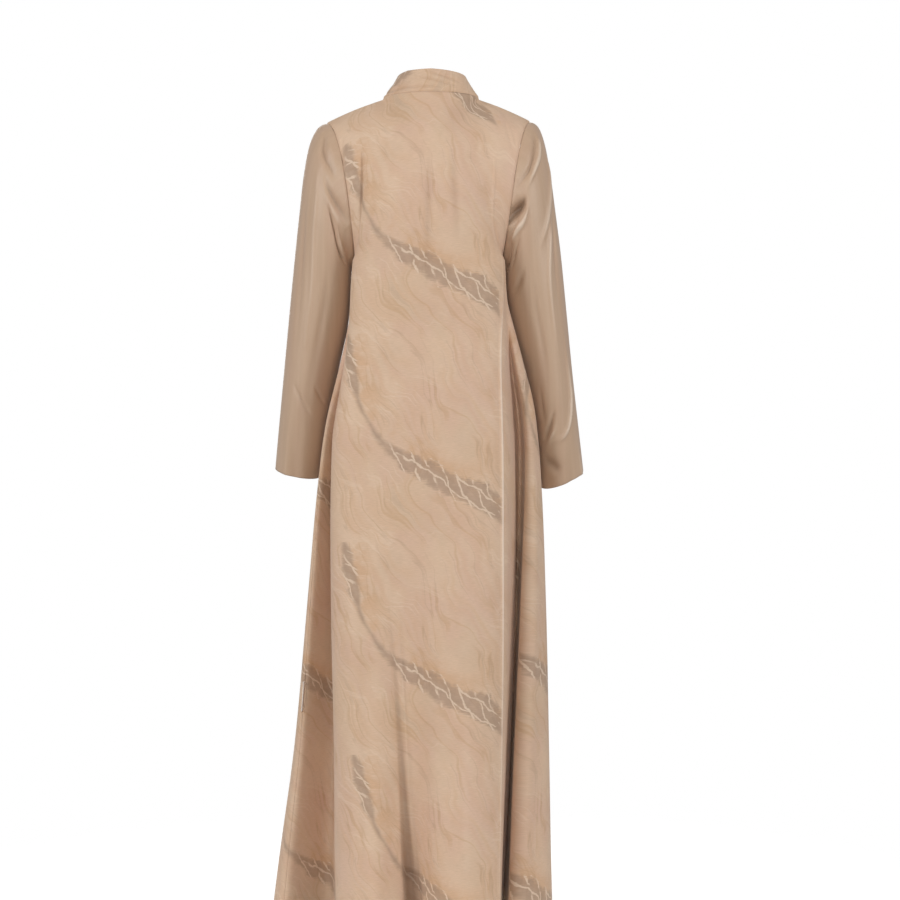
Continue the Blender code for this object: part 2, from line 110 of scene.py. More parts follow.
# Crests and valleys of the folds, round from the left front edge by the back to the right front edge, in
# percent of the body's reach: x and y at the underarm, the hip and the hem, and the z where they start
folds = {
    "leftFrontEdge": (35, -98, 29, -100, 22, -99, -617),
    "leftFrontCrest": (58, -99, 53, -102, 42, -112, -617),
    "leftFrontValley": (75, -92, 69, -87, 50, -70, -617),
    "leftSideFrontCrest": (87, -76, 85, -80, 66, -86, -617),
    "leftSideFrontFlank": (94, -62, 91, -64, 80, -78, -617),
    "leftSideFrontValley": (94, -40, 90, -44, 74, -42, -617),
    "leftCrest": (96, -16, 95, -18, 101, -10, -617),
    "leftSeam": (97, 7, 99, 33, 94, 28, -617),
    "leftValley": (100, 44, 84, 4, 66, -2, -617),
    "leftPanelEdge": (95, 80, 88, 84, 54, 86, -617),
    "leftPanelCrest": (60, 97, 53, 100, 34, 104, -617),
    "middleValley": (25, 100, 19, 103, 9, 76, -800),
    "centreBack": (0, 101, -2, 104, -6, 99, -800),
    "rightPanelMiddle": (-33, 100, -24, 103, -27, 106, -800),
    "rightPanelCrest": (-66, 97, -48, 98, -43, 102, -617),
    "rightPanelEdge": (-97, 80, -66, 86, -56, 85, -617),
    "rightValley": (-100, 56, -83, 12, -59, 14, -617),
    "rightLobeBack": (-101, 42, -90, 52, -74, 64, -617),
    "rightLobeCrest": (-101, 26, -99, 30, -97, 46, -617),
    "rightSeam": (-97, 4, -97, 3, -101, 4, -617),
    "rightSideFrontValley": (-95, -38, -89, -40, -71, -26, -617),
    "rightSideFrontFlank": (-95, -58, -90, -62, -92, -58, -617),
    "rightSideFrontCrest": (-89, -73, -82, -78, -84, -80, -617),
    "rightFrontValley": (-77, -89, -67, -86, -56, -64, -617),
    "rightFrontCrest": (-58, -98, -52, -102, -50, -112, -617),
    "rightFrontEdge": (-38, -98, -29, -100, -26, -99, -617),
}
foldNames = list(folds)
sides = {1: "left", -1: "right"}

# Slanting rings of the sleeves, in millimetres: outermost x and z, innermost x and z, middle y, half depth,
# and how far the ring drops at the back and lifts at the front
leftSleeve = (
    (196, -44, 138, -305, 0, 70, 0),
    (212, -57, 147, -317, 0, 71, 0),
    (226, -90, 148, -331, 0, 73, 0),
    (236, -145, 149, -352, -3, 75, 0),
    (243, -205, 151, -382, -9, 75, 0),
    (252, -285, 157, -428, -17, 74, 0),
    (263, -395, 174, -505, -21, 71, 1),
    (274, -510, 191, -586, -26, 66, 4),
    (284, -612, 202, -655, -33, 62, 7),
    (291, -684, 208, -700, -40, 59, 9),
)
rightSleeve = (
    (186, -41, 127, -305, 0, 70, 0),
    (200, -54, 135, -317, 0, 71, 0),
    (211, -86, 137, -334, 0, 73, 0),
    (221, -140, 140, -360, -4, 75, 0),
    (230, -205, 146, -396, -10, 75, 0),
    (241, -290, 159, -453, -15, 74, 0),
    (252, -400, 180, -530, -18, 71, 2),
    (263, -510, 195, -604, -23, 66, 5),
    (275, -612, 201, -668, -32, 62, 8),
    (284, -688, 206, -719, -40, 59, 11),
)
sleeve = {
    "firstRows": (0, 1.2, 3, 5.5),  # mm down from the armhole
    "evenStart": 0.010,
    "evenEnd": 0.008,  # where the even rows stop, above the cuff's stitching
    "rowStep": 0.0036,
    "cuffRows": (5, 3, 1.5, 0.5, -0.5, -1.5, -3, -6, -10, -14, -17, -20),  # mm above the stitching
    "cuffDepth": 0.020,
    "curveSteps": 360,
    "drawnRings": 4,  # how many of the rings are drawn to the armhole
    "deepRows": 12,  # how many rows below the armhole dip more at the sewn edges
    "thickness": 0.0011,
}


def smoothThrough(stations, values, at):
    # A cubic Hermite curve through `values` at `stations`, each slope a mean of the two beside it
    stations = np.asarray(stations, float)
    values = np.asarray(values, float)
    steps = np.diff(stations)[:, None]
    slopes = np.diff(values, axis=0) / steps
    tangents = np.vstack([slopes[:1], slopes[:1], slopes[1:]])
    tangents[1:-1] = (slopes[:-1] * steps[1:] + slopes[1:] * steps[:-1]) / (steps[:-1] + steps[1:])
    piece = np.clip(np.searchsorted(stations, at, side="right") - 1, 0, len(steps) - 1)
    step = steps[piece]
    t = (np.asarray(at, float) - stations[piece])[:, None] / step
    return (
        (1 + 2 * t) * (1 - t) ** 2 * values[piece]
        + t * (1 - t) ** 2 * step * tangents[piece]
        + t * t * (3 - 2 * t) * values[piece + 1]
        + t * t * (t - 1) * step * tangents[piece + 1]
    )


def distances(points, axis=0):
    # How far along a row of points each one lies
    lengths = np.linalg.norm(np.diff(points, axis=axis), axis=-1)
    start = np.zeros_like(np.take(lengths, [0], axis=axis))
    return np.cumsum(np.concatenate([start, lengths], axis=axis), axis=axis)


def shares(points):
    along = distances(points)
    return along / along[-1]


def rounded(points, reach):
    # Each point becomes the mean of the row near it, weighted by a bell curve `reach` wide
    before = 2 * points[0] - points[:0:-1]
    after = 2 * points[-1] - points[-2::-1]
    longer = np.vstack([before, points, after])
    along = distances(longer)
    weights = np.exp(-0.5 * ((along[len(before) : -len(after), None] - along) / reach) ** 2)
    weights *= np.gradient(along)
    return weights @ longer / weights.sum(axis=1)[:, None]


def unit(vectors):
    return vectors / np.maximum(np.linalg.norm(vectors, axis=-1, keepdims=True), 1e-12)


# Columns are numbered by the folds: 0 is the first of them, 1 the second, with even steps between and a few
# finer ones beside the edges that are sewn
lastFold = len(foldNames) - 1
edgeNumbers = [0, foldNames.index("leftSeam"), foldNames.index("rightSeam"), lastFold]
evenSteps = np.arange(lastFold * body["stepsPerFold"] + 1) / body["stepsPerFold"]
for start, end in body["fineFolds"]:
    closer = np.arange(start, end, 1 / body["fineSteps"])
    offFold = np.abs(closer - closer.round()) * body["fineSteps"]  # a whole fold keeps a column of its own
    outside = evenSteps[(evenSteps < start) | (evenSteps > end)]
    evenSteps = np.concatenate([outside, closer[offFold > 0.6], closer[offFold < 0.5].round()])
besideSeams = np.array([number + aside for number in edgeNumbers for aside in body["besideSeams"]])
besideSeams = besideSeams[(besideSeams > 0) & (besideSeams < lastFold)]
foldAt = np.unique(np.round(np.concatenate([evenSteps, besideSeams]), 4))


def columnOf(name):
    return int(np.searchsorted(foldAt, foldNames.index(name)))


def foldPlaces(z):
    # Each fold moves from its underarm share to its hip share by a smooth step, then straight to the hem's
    table = np.array(list(folds.values()), float)
    top, hip, hem, start = table[:, 0:2], table[:, 2:4], table[:, 4:6], table[:, 6:7] / 1000
    down = np.clip((body["underarmZ"] - z) / (body["underarmZ"] - body["hipZ"]), 0, 1)
    grown = np.clip((start - z) / (start - body["hemZ"]), 0, 1)
    share = (top + (hip - top) * down * down * (3 - 2 * down) + (hem - hip) * grown) / 100
    reaches = np.array(sections[::-1], float) / 1000
    left, right, back, front = smoothThrough(reaches[:, 0], reaches[:, 1:], [z])[0]
    x = share[:, 0] * np.where(share[:, 0] > 0, left, right)
    y = share[:, 1] * np.where(share[:, 1] > 0, back, front)
    return np.column_stack([x, y])


def bodyRow(z):
    # A smooth curve through the folds at height z, rounded at its bends
    places = foldPlaces(z)
    numbers = np.arange(len(places))
    chords = np.linalg.norm(np.diff(places, axis=0), axis=1)
    along = np.concatenate([[0], np.cumsum(np.sqrt(chords))])
    fine = np.arange((len(places) - 1) * body["curveSteps"] + 1) / body["curveSteps"]
    curve = rounded(smoothThrough(along, places, np.interp(fine, numbers, along)), body["bend"])
    flat = smoothThrough(fine, curve, foldAt)
    return np.column_stack([flat, np.full(len(flat), z)])


def shoulderEdge(side, along):
    # A straight line from the shoulder point (0) to the neck (1), bowed up by half a sine
    start = np.array(shoulders[side]["point"])
    points = start + np.outer(along, np.array([side * neck["halfWidth"], 0, 0]) - start)
    points[:, 2] += shoulders["rise"] * np.sin(np.pi * along)
    return points


def neckEdge(side, along):
    # A quarter of a flattened ring from the shoulder seam (0) to the centre back (1)
    turn = along * np.pi / 2
    y = neck["backY"] * np.sin(turn) ** neck["roundness"]
    return np.column_stack([side * neck["halfWidth"] * np.cos(turn), y, neck["backZ"] * np.sin(turn)])


def armholeEdge(side, underarm, reach, down):
    # Half a ring from the shoulder point (0) to the underarm (1), hollowed towards the body
    shoulder = np.array(shoulders[side]["point"])
    drop = (1 - np.cos(np.pi * down)) / 2
    x = shoulder[0] + (underarm[0] - shoulder[0]) * down
    x -= side * shoulders[side]["hollow"] * np.sin(np.pi * down)
    y = shoulder[1] + (underarm[1] - shoulder[1]) * drop + reach * np.sin(np.pi * down)
    z = shoulder[2] + (underarm[2] - shoulder[2]) * drop
    return np.column_stack([x, y, z])


def fallingEdge(start, end, steepness, down):
    # Outwards by a sine, down by a mix of a cosine and a straight line
    out = np.sin(down * np.pi / 2)
    fall = (1 - np.cos(down * np.pi / 2)) * (1 - steepness) + down * steepness
    return start + np.column_stack([out, out, fall]) * (end - start)


def yoke(top, bottom, armhole, middle, share, down):
    # Each row spans from the armhole to the middle, and takes on the bows of the top and the bottom rows
    across = np.sin(share * np.pi / 2)[:, None]
    t = down[:, None, None]
    spans = armhole[:, None] * (1 - across) + middle[:, None] * across
    bows = (top - spans[0]) * (1 - t) ** body["topFade"] + (bottom - spans[-1]) * t ** body["bottomFade"]
    return spans + bows


def softened(rows, down):
    # Each row is rounded, less so next to the top and the bottom row, with its ends kept
    soft = rows.copy()
    above, below = body["yokeKept"]
    for number in range(1, len(rows) - 1):
        reach = body["yokeSoftness"] * (1 - (1 - down[number]) ** above) * (1 - down[number] ** below)
        soft[number, 1:-1] = rounded(rows[number], reach)[1:-1]
    return soft


down = np.concatenate([body["firstRows"], np.linspace(0, 1, body["yokeRows"] + 1)[1:]])
yokeLast = len(down) - 1
hemTop = body["hemZ"] + body["hemDepth"]
skirtZ = np.concatenate([
    np.arange(body["underarmZ"], hemTop + body["skirtEnd"], -body["skirtStep"])[1:],
    hemTop + np.array(body["hemRows"]) / 1000,
])
underarm = bodyRow(body["underarmZ"])
skirt = np.array([bodyRow(z) for z in skirtZ])
hemX = skirt[-1, :, 0]
sideways = (hemX / np.where(hemX > 0, hemX.max(), hemX.min())) ** 2
inValley = np.exp(-((foldAt - foldNames.index("leftValley")) / body["valleyWidth"]) ** 2)
lowered = ((body["underarmZ"] - skirtZ) / (body["underarmZ"] - body["hemZ"])) ** 2
skirt[:, :, 2] -= lowered[:, None] * (body["sideDip"] * sideways + body["valleyDip"] * inValley)
middle = columnOf("centreBack")
centre = fallingEdge(neckEdge(1, np.ones(1))[0], underarm[middle], body["backSteepness"], down)

halves, fronts = {}, {}
for side, word in sides.items():
    edge, seam, corner = (columnOf(word + name) for name in ("FrontEdge", "Seam", "PanelCrest"))
    toNeck, toCentre = underarm[seam:corner:side], underarm[corner:middle:side]
    backTop = shoulderEdge(side, shares(np.vstack([toNeck, underarm[corner]])))
    backNeck = neckEdge(side, shares(np.vstack([toCentre, underarm[middle]])))
    armhole = armholeEdge(side, underarm[seam], shoulders["armholeBack"], down)
    top = np.vstack([backTop, backNeck[1:]])
    bottom = np.vstack([toNeck, toCentre, underarm[middle]])
    share = np.abs(np.append(foldAt[seam:middle:side], foldAt[middle]) - foldAt[seam])
    halves[side] = yoke(top, bottom, armhole, centre, share / share[-1], down)
    columns = slice(min(edge, seam), max(edge, seam) + 1)
    toEdge, share = underarm[columns][::-side], foldAt[columns][::-side]
    share = np.abs(share - share[0])
    frontTop = shoulderEdge(side, shares(toEdge))
    armhole = armholeEdge(side, underarm[seam], -shoulders["armholeFront"], down)
    frontEdge = fallingEdge(frontTop[-1], underarm[edge], body["frontSteepness"], down)
    fronts[side] = softened(yoke(frontTop, toEdge, armhole, frontEdge, share / share[-1], down), down)

leftSeam, rightSeam = columnOf("leftSeam"), columnOf("rightSeam")
grids = {
    "back": np.concatenate([
        softened(np.concatenate([halves[1], halves[-1][:, -2::-1]], axis=1), down),
        skirt[:, leftSeam : rightSeam + 1],
    ]),
    "front_left": np.concatenate([fronts[1][:, ::-1], skirt[:, : leftSeam + 1]]),
    "front_right": np.concatenate([fronts[-1], skirt[:, rightSeam:]]),
}
foldOf = {
    "back": foldAt[leftSeam : rightSeam + 1],
    "front_left": foldAt[: leftSeam + 1],
    "front_right": foldAt[rightSeam:],
}


def clothPlaces(grid, start, startColumn):
    # Where each point lies on the flat cloth: across from the centre back, and up from the underarm's z
    across = distances(grid, axis=1)
    across += start - across[:, startColumn : startColumn + 1]
    up = distances(grid[yokeLast::-1], axis=0)[::-1] + body["underarmZ"]
    return np.stack([across, np.concatenate([up, grid[yokeLast + 1 :, :, 2]])], axis=-1)


flat = {"back": clothPlaces(grids["back"], 0, middle - leftSeam)}
flat["front_left"] = clothPlaces(grids["front_left"], flat["back"][:, :1, 0], leftSeam)
flat["front_right"] = clothPlaces(grids["front_right"], flat["back"][:, -1:, 0], 0)
print("body panels:", {name: grid.shape[:2] for name, grid in grids.items()})


def sleeveGrid(table, side, armhole):
    # Slanting ellipses through the table's rings, drawn to the armhole at the top; each starts at the inside
    # of the arm and goes round by the front, the outside and the back
    table = np.array(table, float) / 1000
    table[:, (0, 2)] *= side
    rings = np.arange(len(table))
    fine = np.linspace(0, rings[-1], sleeve["curveSteps"] + 1)
    centres = np.column_stack([(table[:, 0] + table[:, 2]) / 2, table[:, 4], (table[:, 1] + table[:, 3]) / 2])
    reach = distances(smoothThrough(rings, centres, fine))
    length = reach[-1]
    stitching = length - sleeve["cuffDepth"]
    stations = np.concatenate([
        np.array(sleeve["firstRows"]) / 1000,
        np.linspace(sleeve["evenStart"], stitching - sleeve["evenEnd"], int(length / sleeve["rowStep"])),
        stitching - np.array(sleeve["cuffRows"]) / 1000,
    ])
    at = np.interp(stations, reach, fine)
    outX, outZ, inX, inZ, midY, halfDepth, backDrop = smoothThrough(rings, table, at).T[:, :, None]
    turn = np.concatenate([np.pi * down, 2 * np.pi - np.pi * down[-2:0:-1]])
    out, backwards = (1 + np.cos(turn)) / 2, np.sin(turn)
    x = inX + (outX - inX) * out
    y = midY + halfDepth * backwards
    z = inZ + (outZ - inZ) * out - backDrop * backwards
    points = np.stack([x, y, z], axis=-1)
    fade = np.clip(1 - at / sleeve["drawnRings"], 0, 1)[:, None, None] ** 2
    points = points + (armhole - points[0]) * fade
    points = np.roll(points, -yokeLast, axis=1)
    closed = np.concatenate([points, points[:, :1]], axis=1)
    across = distances(closed, axis=1)
    across -= across[:, -1:] / 2
    places = np.stack([across, np.broadcast_to(-stations[:, None], across.shape)], axis=-1)
    turns = (np.roll(turn, -yokeLast) / (2 * np.pi) - 0.5) % 1
    return points, places, np.append(turns, 1.0)


for side, table, backColumn, frontColumn in ((1, leftSleeve, 0, -1), (-1, rightSleeve, -1, 0)):
    name, rows = "sleeve_" + sides[side], slice(0, yokeLast + 1)
    backHalf, frontHalf = grids["back"][rows, backColumn], grids["front_" + sides[side]][rows, frontColumn]
    armhole = np.vstack([backHalf, frontHalf[-2:0:-1]])
    grids[name], flat[name], foldOf[name] = sleeveGrid(table, side, armhole)
print("sleeves:", grids["sleeve_left"].shape[:2], grids["sleeve_right"].shape[:2])


def acrossBand(seamLine, side, number):
    # Square to the seam, leaning from upright at the centre back to flat on the body at the underarm
    lean = np.radians(np.interp(number, band["leanAt"], band["lean"]))[:, None]
    inward = unit(np.column_stack([-seamLine[:, 0], -seamLine[:, 1], np.zeros(len(seamLine))]))
    turned = np.clip((number - 1) / band["turnsIn"], 0, 1)[:, None]
    inward = inward * (1 - turned) + np.array([-side, 0, 0]) * turned
    across = np.cos(lean) * np.array([0, 0, 1]) + np.sin(lean) * inward
    along = np.gradient(seamLine, axis=0)
    along[0] = (side, 0, 0)
    along = unit(along)
    across -= along * (across * along).sum(axis=1)[:, None]
    return unit(across)


bandEdges = np.array(band["edgeColumns"])
bandWidths = np.unique(np.concatenate([
    np.linspace(0, 1, band["columns"] + 1) * band["width"],
    np.concatenate([bandEdges, band["width"] * 1000 - bandEdges]) / 1000,
]))


def flatBand(grid):
    # How far below its first row each point of a band lies, and how far across
    along = np.broadcast_to(-distances(grid[:, 0])[:, None], grid.shape[:2])
    return along, np.broadcast_to(bandWidths, grid.shape[:2])


centreColumn = middle - leftSeam
collars = {}
for side, word in sides.items():
    front, name = grids["front_" + word], "band_" + word
    edgeColumn = 0 if side > 0 else -1
    corner = columnOf(word + "PanelCrest") - leftSeam
    count = abs(centreColumn - corner)
    backNeck = grids["back"][0, min(corner, centreColumn) : max(corner, centreColumn) + 1][::-side]
    seamLine = np.vstack([backNeck, front[1:, edgeColumn]])
    below = np.linspace(2, 3, len(front) - yokeLast)[1:]
    number = np.concatenate([np.linspace(0, 1, count + 1), 1 + down[1:], below])
    strip = seamLine[:, None] + acrossBand(seamLine, side, number)[:, None] * bandWidths[None, :, None]
    collars[side], grids[name] = strip[: count + 1], strip[count:]
    along, widths = flatBand(grids[name])
    flat[name] = np.stack([flat["front_" + word][0, edgeColumn, 0] + side * widths, along], axis=-1)
grids["collar"] = np.concatenate([collars[1][::-1], collars[-1][1:]])
along, widths = flatBand(grids["collar"])
flat["collar"] = np.stack([along - along[len(along) // 2], widths], axis=-1)
print("collar and bands:", grids["collar"].shape[:2], grids["band_left"].shape[:2])


tubes = ("sleeve_left", "sleeve_right")
bands = ("band_left", "band_right")
flips = ("sleeve_right", "band_left")  # their grids run the other way round
pointGap = 1e-6  # points nearer than this count as one
stationSteps = 6  # between two stations of a crease


def facing(grid, flip):
    # Normals as long as the area round each point, summed from the faces that meet there
    across, along = np.diff(grid, axis=1), np.diff(grid, axis=0)
    corner = np.cross((along[:, :-1] + along[:, 1:]) / 2, (across[:-1] + across[1:]) / 2)
    total = np.zeros_like(grid)
    for rows in (slice(None, -1), slice(1, None)):
        for columns in (slice(None, -1), slice(1, None)):
            total[rows, columns] += corner
    return -total if flip else total


def sharedNormals(shown):
    # Points that panels share along a seam get one normal; at an armhole it is half way between the sleeve's
    # own and the body's
    closed = {n: np.concatenate([g, g[:, :1]], axis=1) if n in tubes else g for n, g in shown.items()}
    names = list(closed)
    points = np.vstack([closed[n].reshape(-1, 3) for n in names])
    keys = np.round(points / pointGap).astype(np.int64)
    which = np.unique(keys, axis=0, return_inverse=True)[1].ravel()
    group = np.concatenate([
        np.full(closed[n][..., 0].size, tubes.index(n) + 1 if n in tubes else 0) for n in names
    ])
    raw = np.vstack([facing(closed[n], n in flips).reshape(-1, 3) for n in names])
    total = np.zeros((which.max() + 1, 3))
    for number in range(3):
        own = np.zeros_like(total)
        np.add.at(own, which[group == number], raw[group == number])
        total += unit(own)
    normals = unit(total)[which]
    result, start = {}, 0
    for n in names:
        size = closed[n][..., 0].size
        own = normals[start : start + size].reshape(closed[n].shape)
        result[n] = own[:, : shown[n].shape[1]].copy()
        start += size
    for side, word in sides.items():
        point = shoulders[side]["point"]
        slope = unit(np.array([-point[2] * side, 0, abs(point[0]) - neck["halfWidth"]]))
        corner = columnOf(word + "PanelCrest") - leftSeam
        result["back"][0, slice(0, corner + 1) if side > 0 else slice(corner, None)] = slope
        result["front_" + word][0] = slope
    return result


def drawnIn(layer, normals, isTube):
    # The layer with its edges moved in by half a seam gap, square to the wall
    drawn = layer.copy()
    lines = [(0, 1), (-1, -2)]
    if not isTube:
        lines += [((slice(None), edge), (slice(None), inner)) for edge, inner in lines]
    for edge, inner in lines:
        step = layer[inner] - layer[edge]
        step = step - normals[edge] * (step * normals[edge]).sum(axis=-1, keepdims=True)
        drawn[edge] += unit(step) * body["seamGap"] / 2
    return drawn


def quads(a, b, c, d):
    return np.stack([a, b, c, d], axis=2).reshape(-1, 4, *a.shape[2:])


def wallObject(name, centreGrid, normals, places, thickness, flip=False, isTube=False, shade=None):
    # Two layers half a thickness either side of the grid, joined round the rims, with the flat cloth's
    # places as its UV map
    outer = drawnIn(centreGrid + normals * thickness / 2, normals, isTube)
    inner = drawnIn(centreGrid - normals * thickness / 2, normals, isTube)
    rows, columns = centreGrid.shape[:2]
    top = np.arange(rows * columns).reshape(rows, columns)
    if isTube:
        top = np.hstack([top, top[:, :1]])
    under = top + rows * columns

    def strips(over, below):
        made = [
            quads(over[:-1, :-1], over[1:, :-1], over[1:, 1:], over[:-1, 1:]),
            quads(below[:-1, :-1], below[:-1, 1:], below[1:, 1:], below[1:, :-1]),
            quads(over[:1, :-1], over[:1, 1:], below[:1, 1:], below[:1, :-1]),
            quads(over[-1:, :-1], below[-1:, :-1], below[-1:, 1:], over[-1:, 1:]),
        ]
        if not isTube:
            made += [
                quads(over[:-1, :1], below[:-1, :1], below[1:, :1], over[1:, :1]),
                quads(over[:-1, -1:], over[1:, -1:], below[1:, -1:], below[:-1, -1:]),
            ]
        return np.concatenate(made)

    faces, corners = strips(top, under), strips(places, places)
    if flip:
        faces, corners = faces[:, ::-1], corners[:, ::-1]
    mesh = bpy.data.meshes.new(name)
    points = np.vstack([outer.reshape(-1, 3), inner.reshape(-1, 3)])
    mesh.from_pydata(points.tolist(), [], faces.tolist())
    layer = mesh.uv_layers.new(name="cloth")
    layer.data.foreach_set("uv", np.ascontiguousarray(corners, dtype=np.float32).ravel())
    # the heights of the creases and seam grooves, from which the materials paint highlights on ridges and
    # shade in troughs
    if shade is not None:
        attribute = mesh.attributes.new("crease", "FLOAT", "POINT")
        attribute.data.foreach_set("value", np.concatenate([shade.ravel()] * 2).astype(np.float32))
    mesh.shade_smooth()
    piece = bpy.data.objects.new(name, mesh)
    bpy.context.scene.collection.objects.link(piece)
    return piece


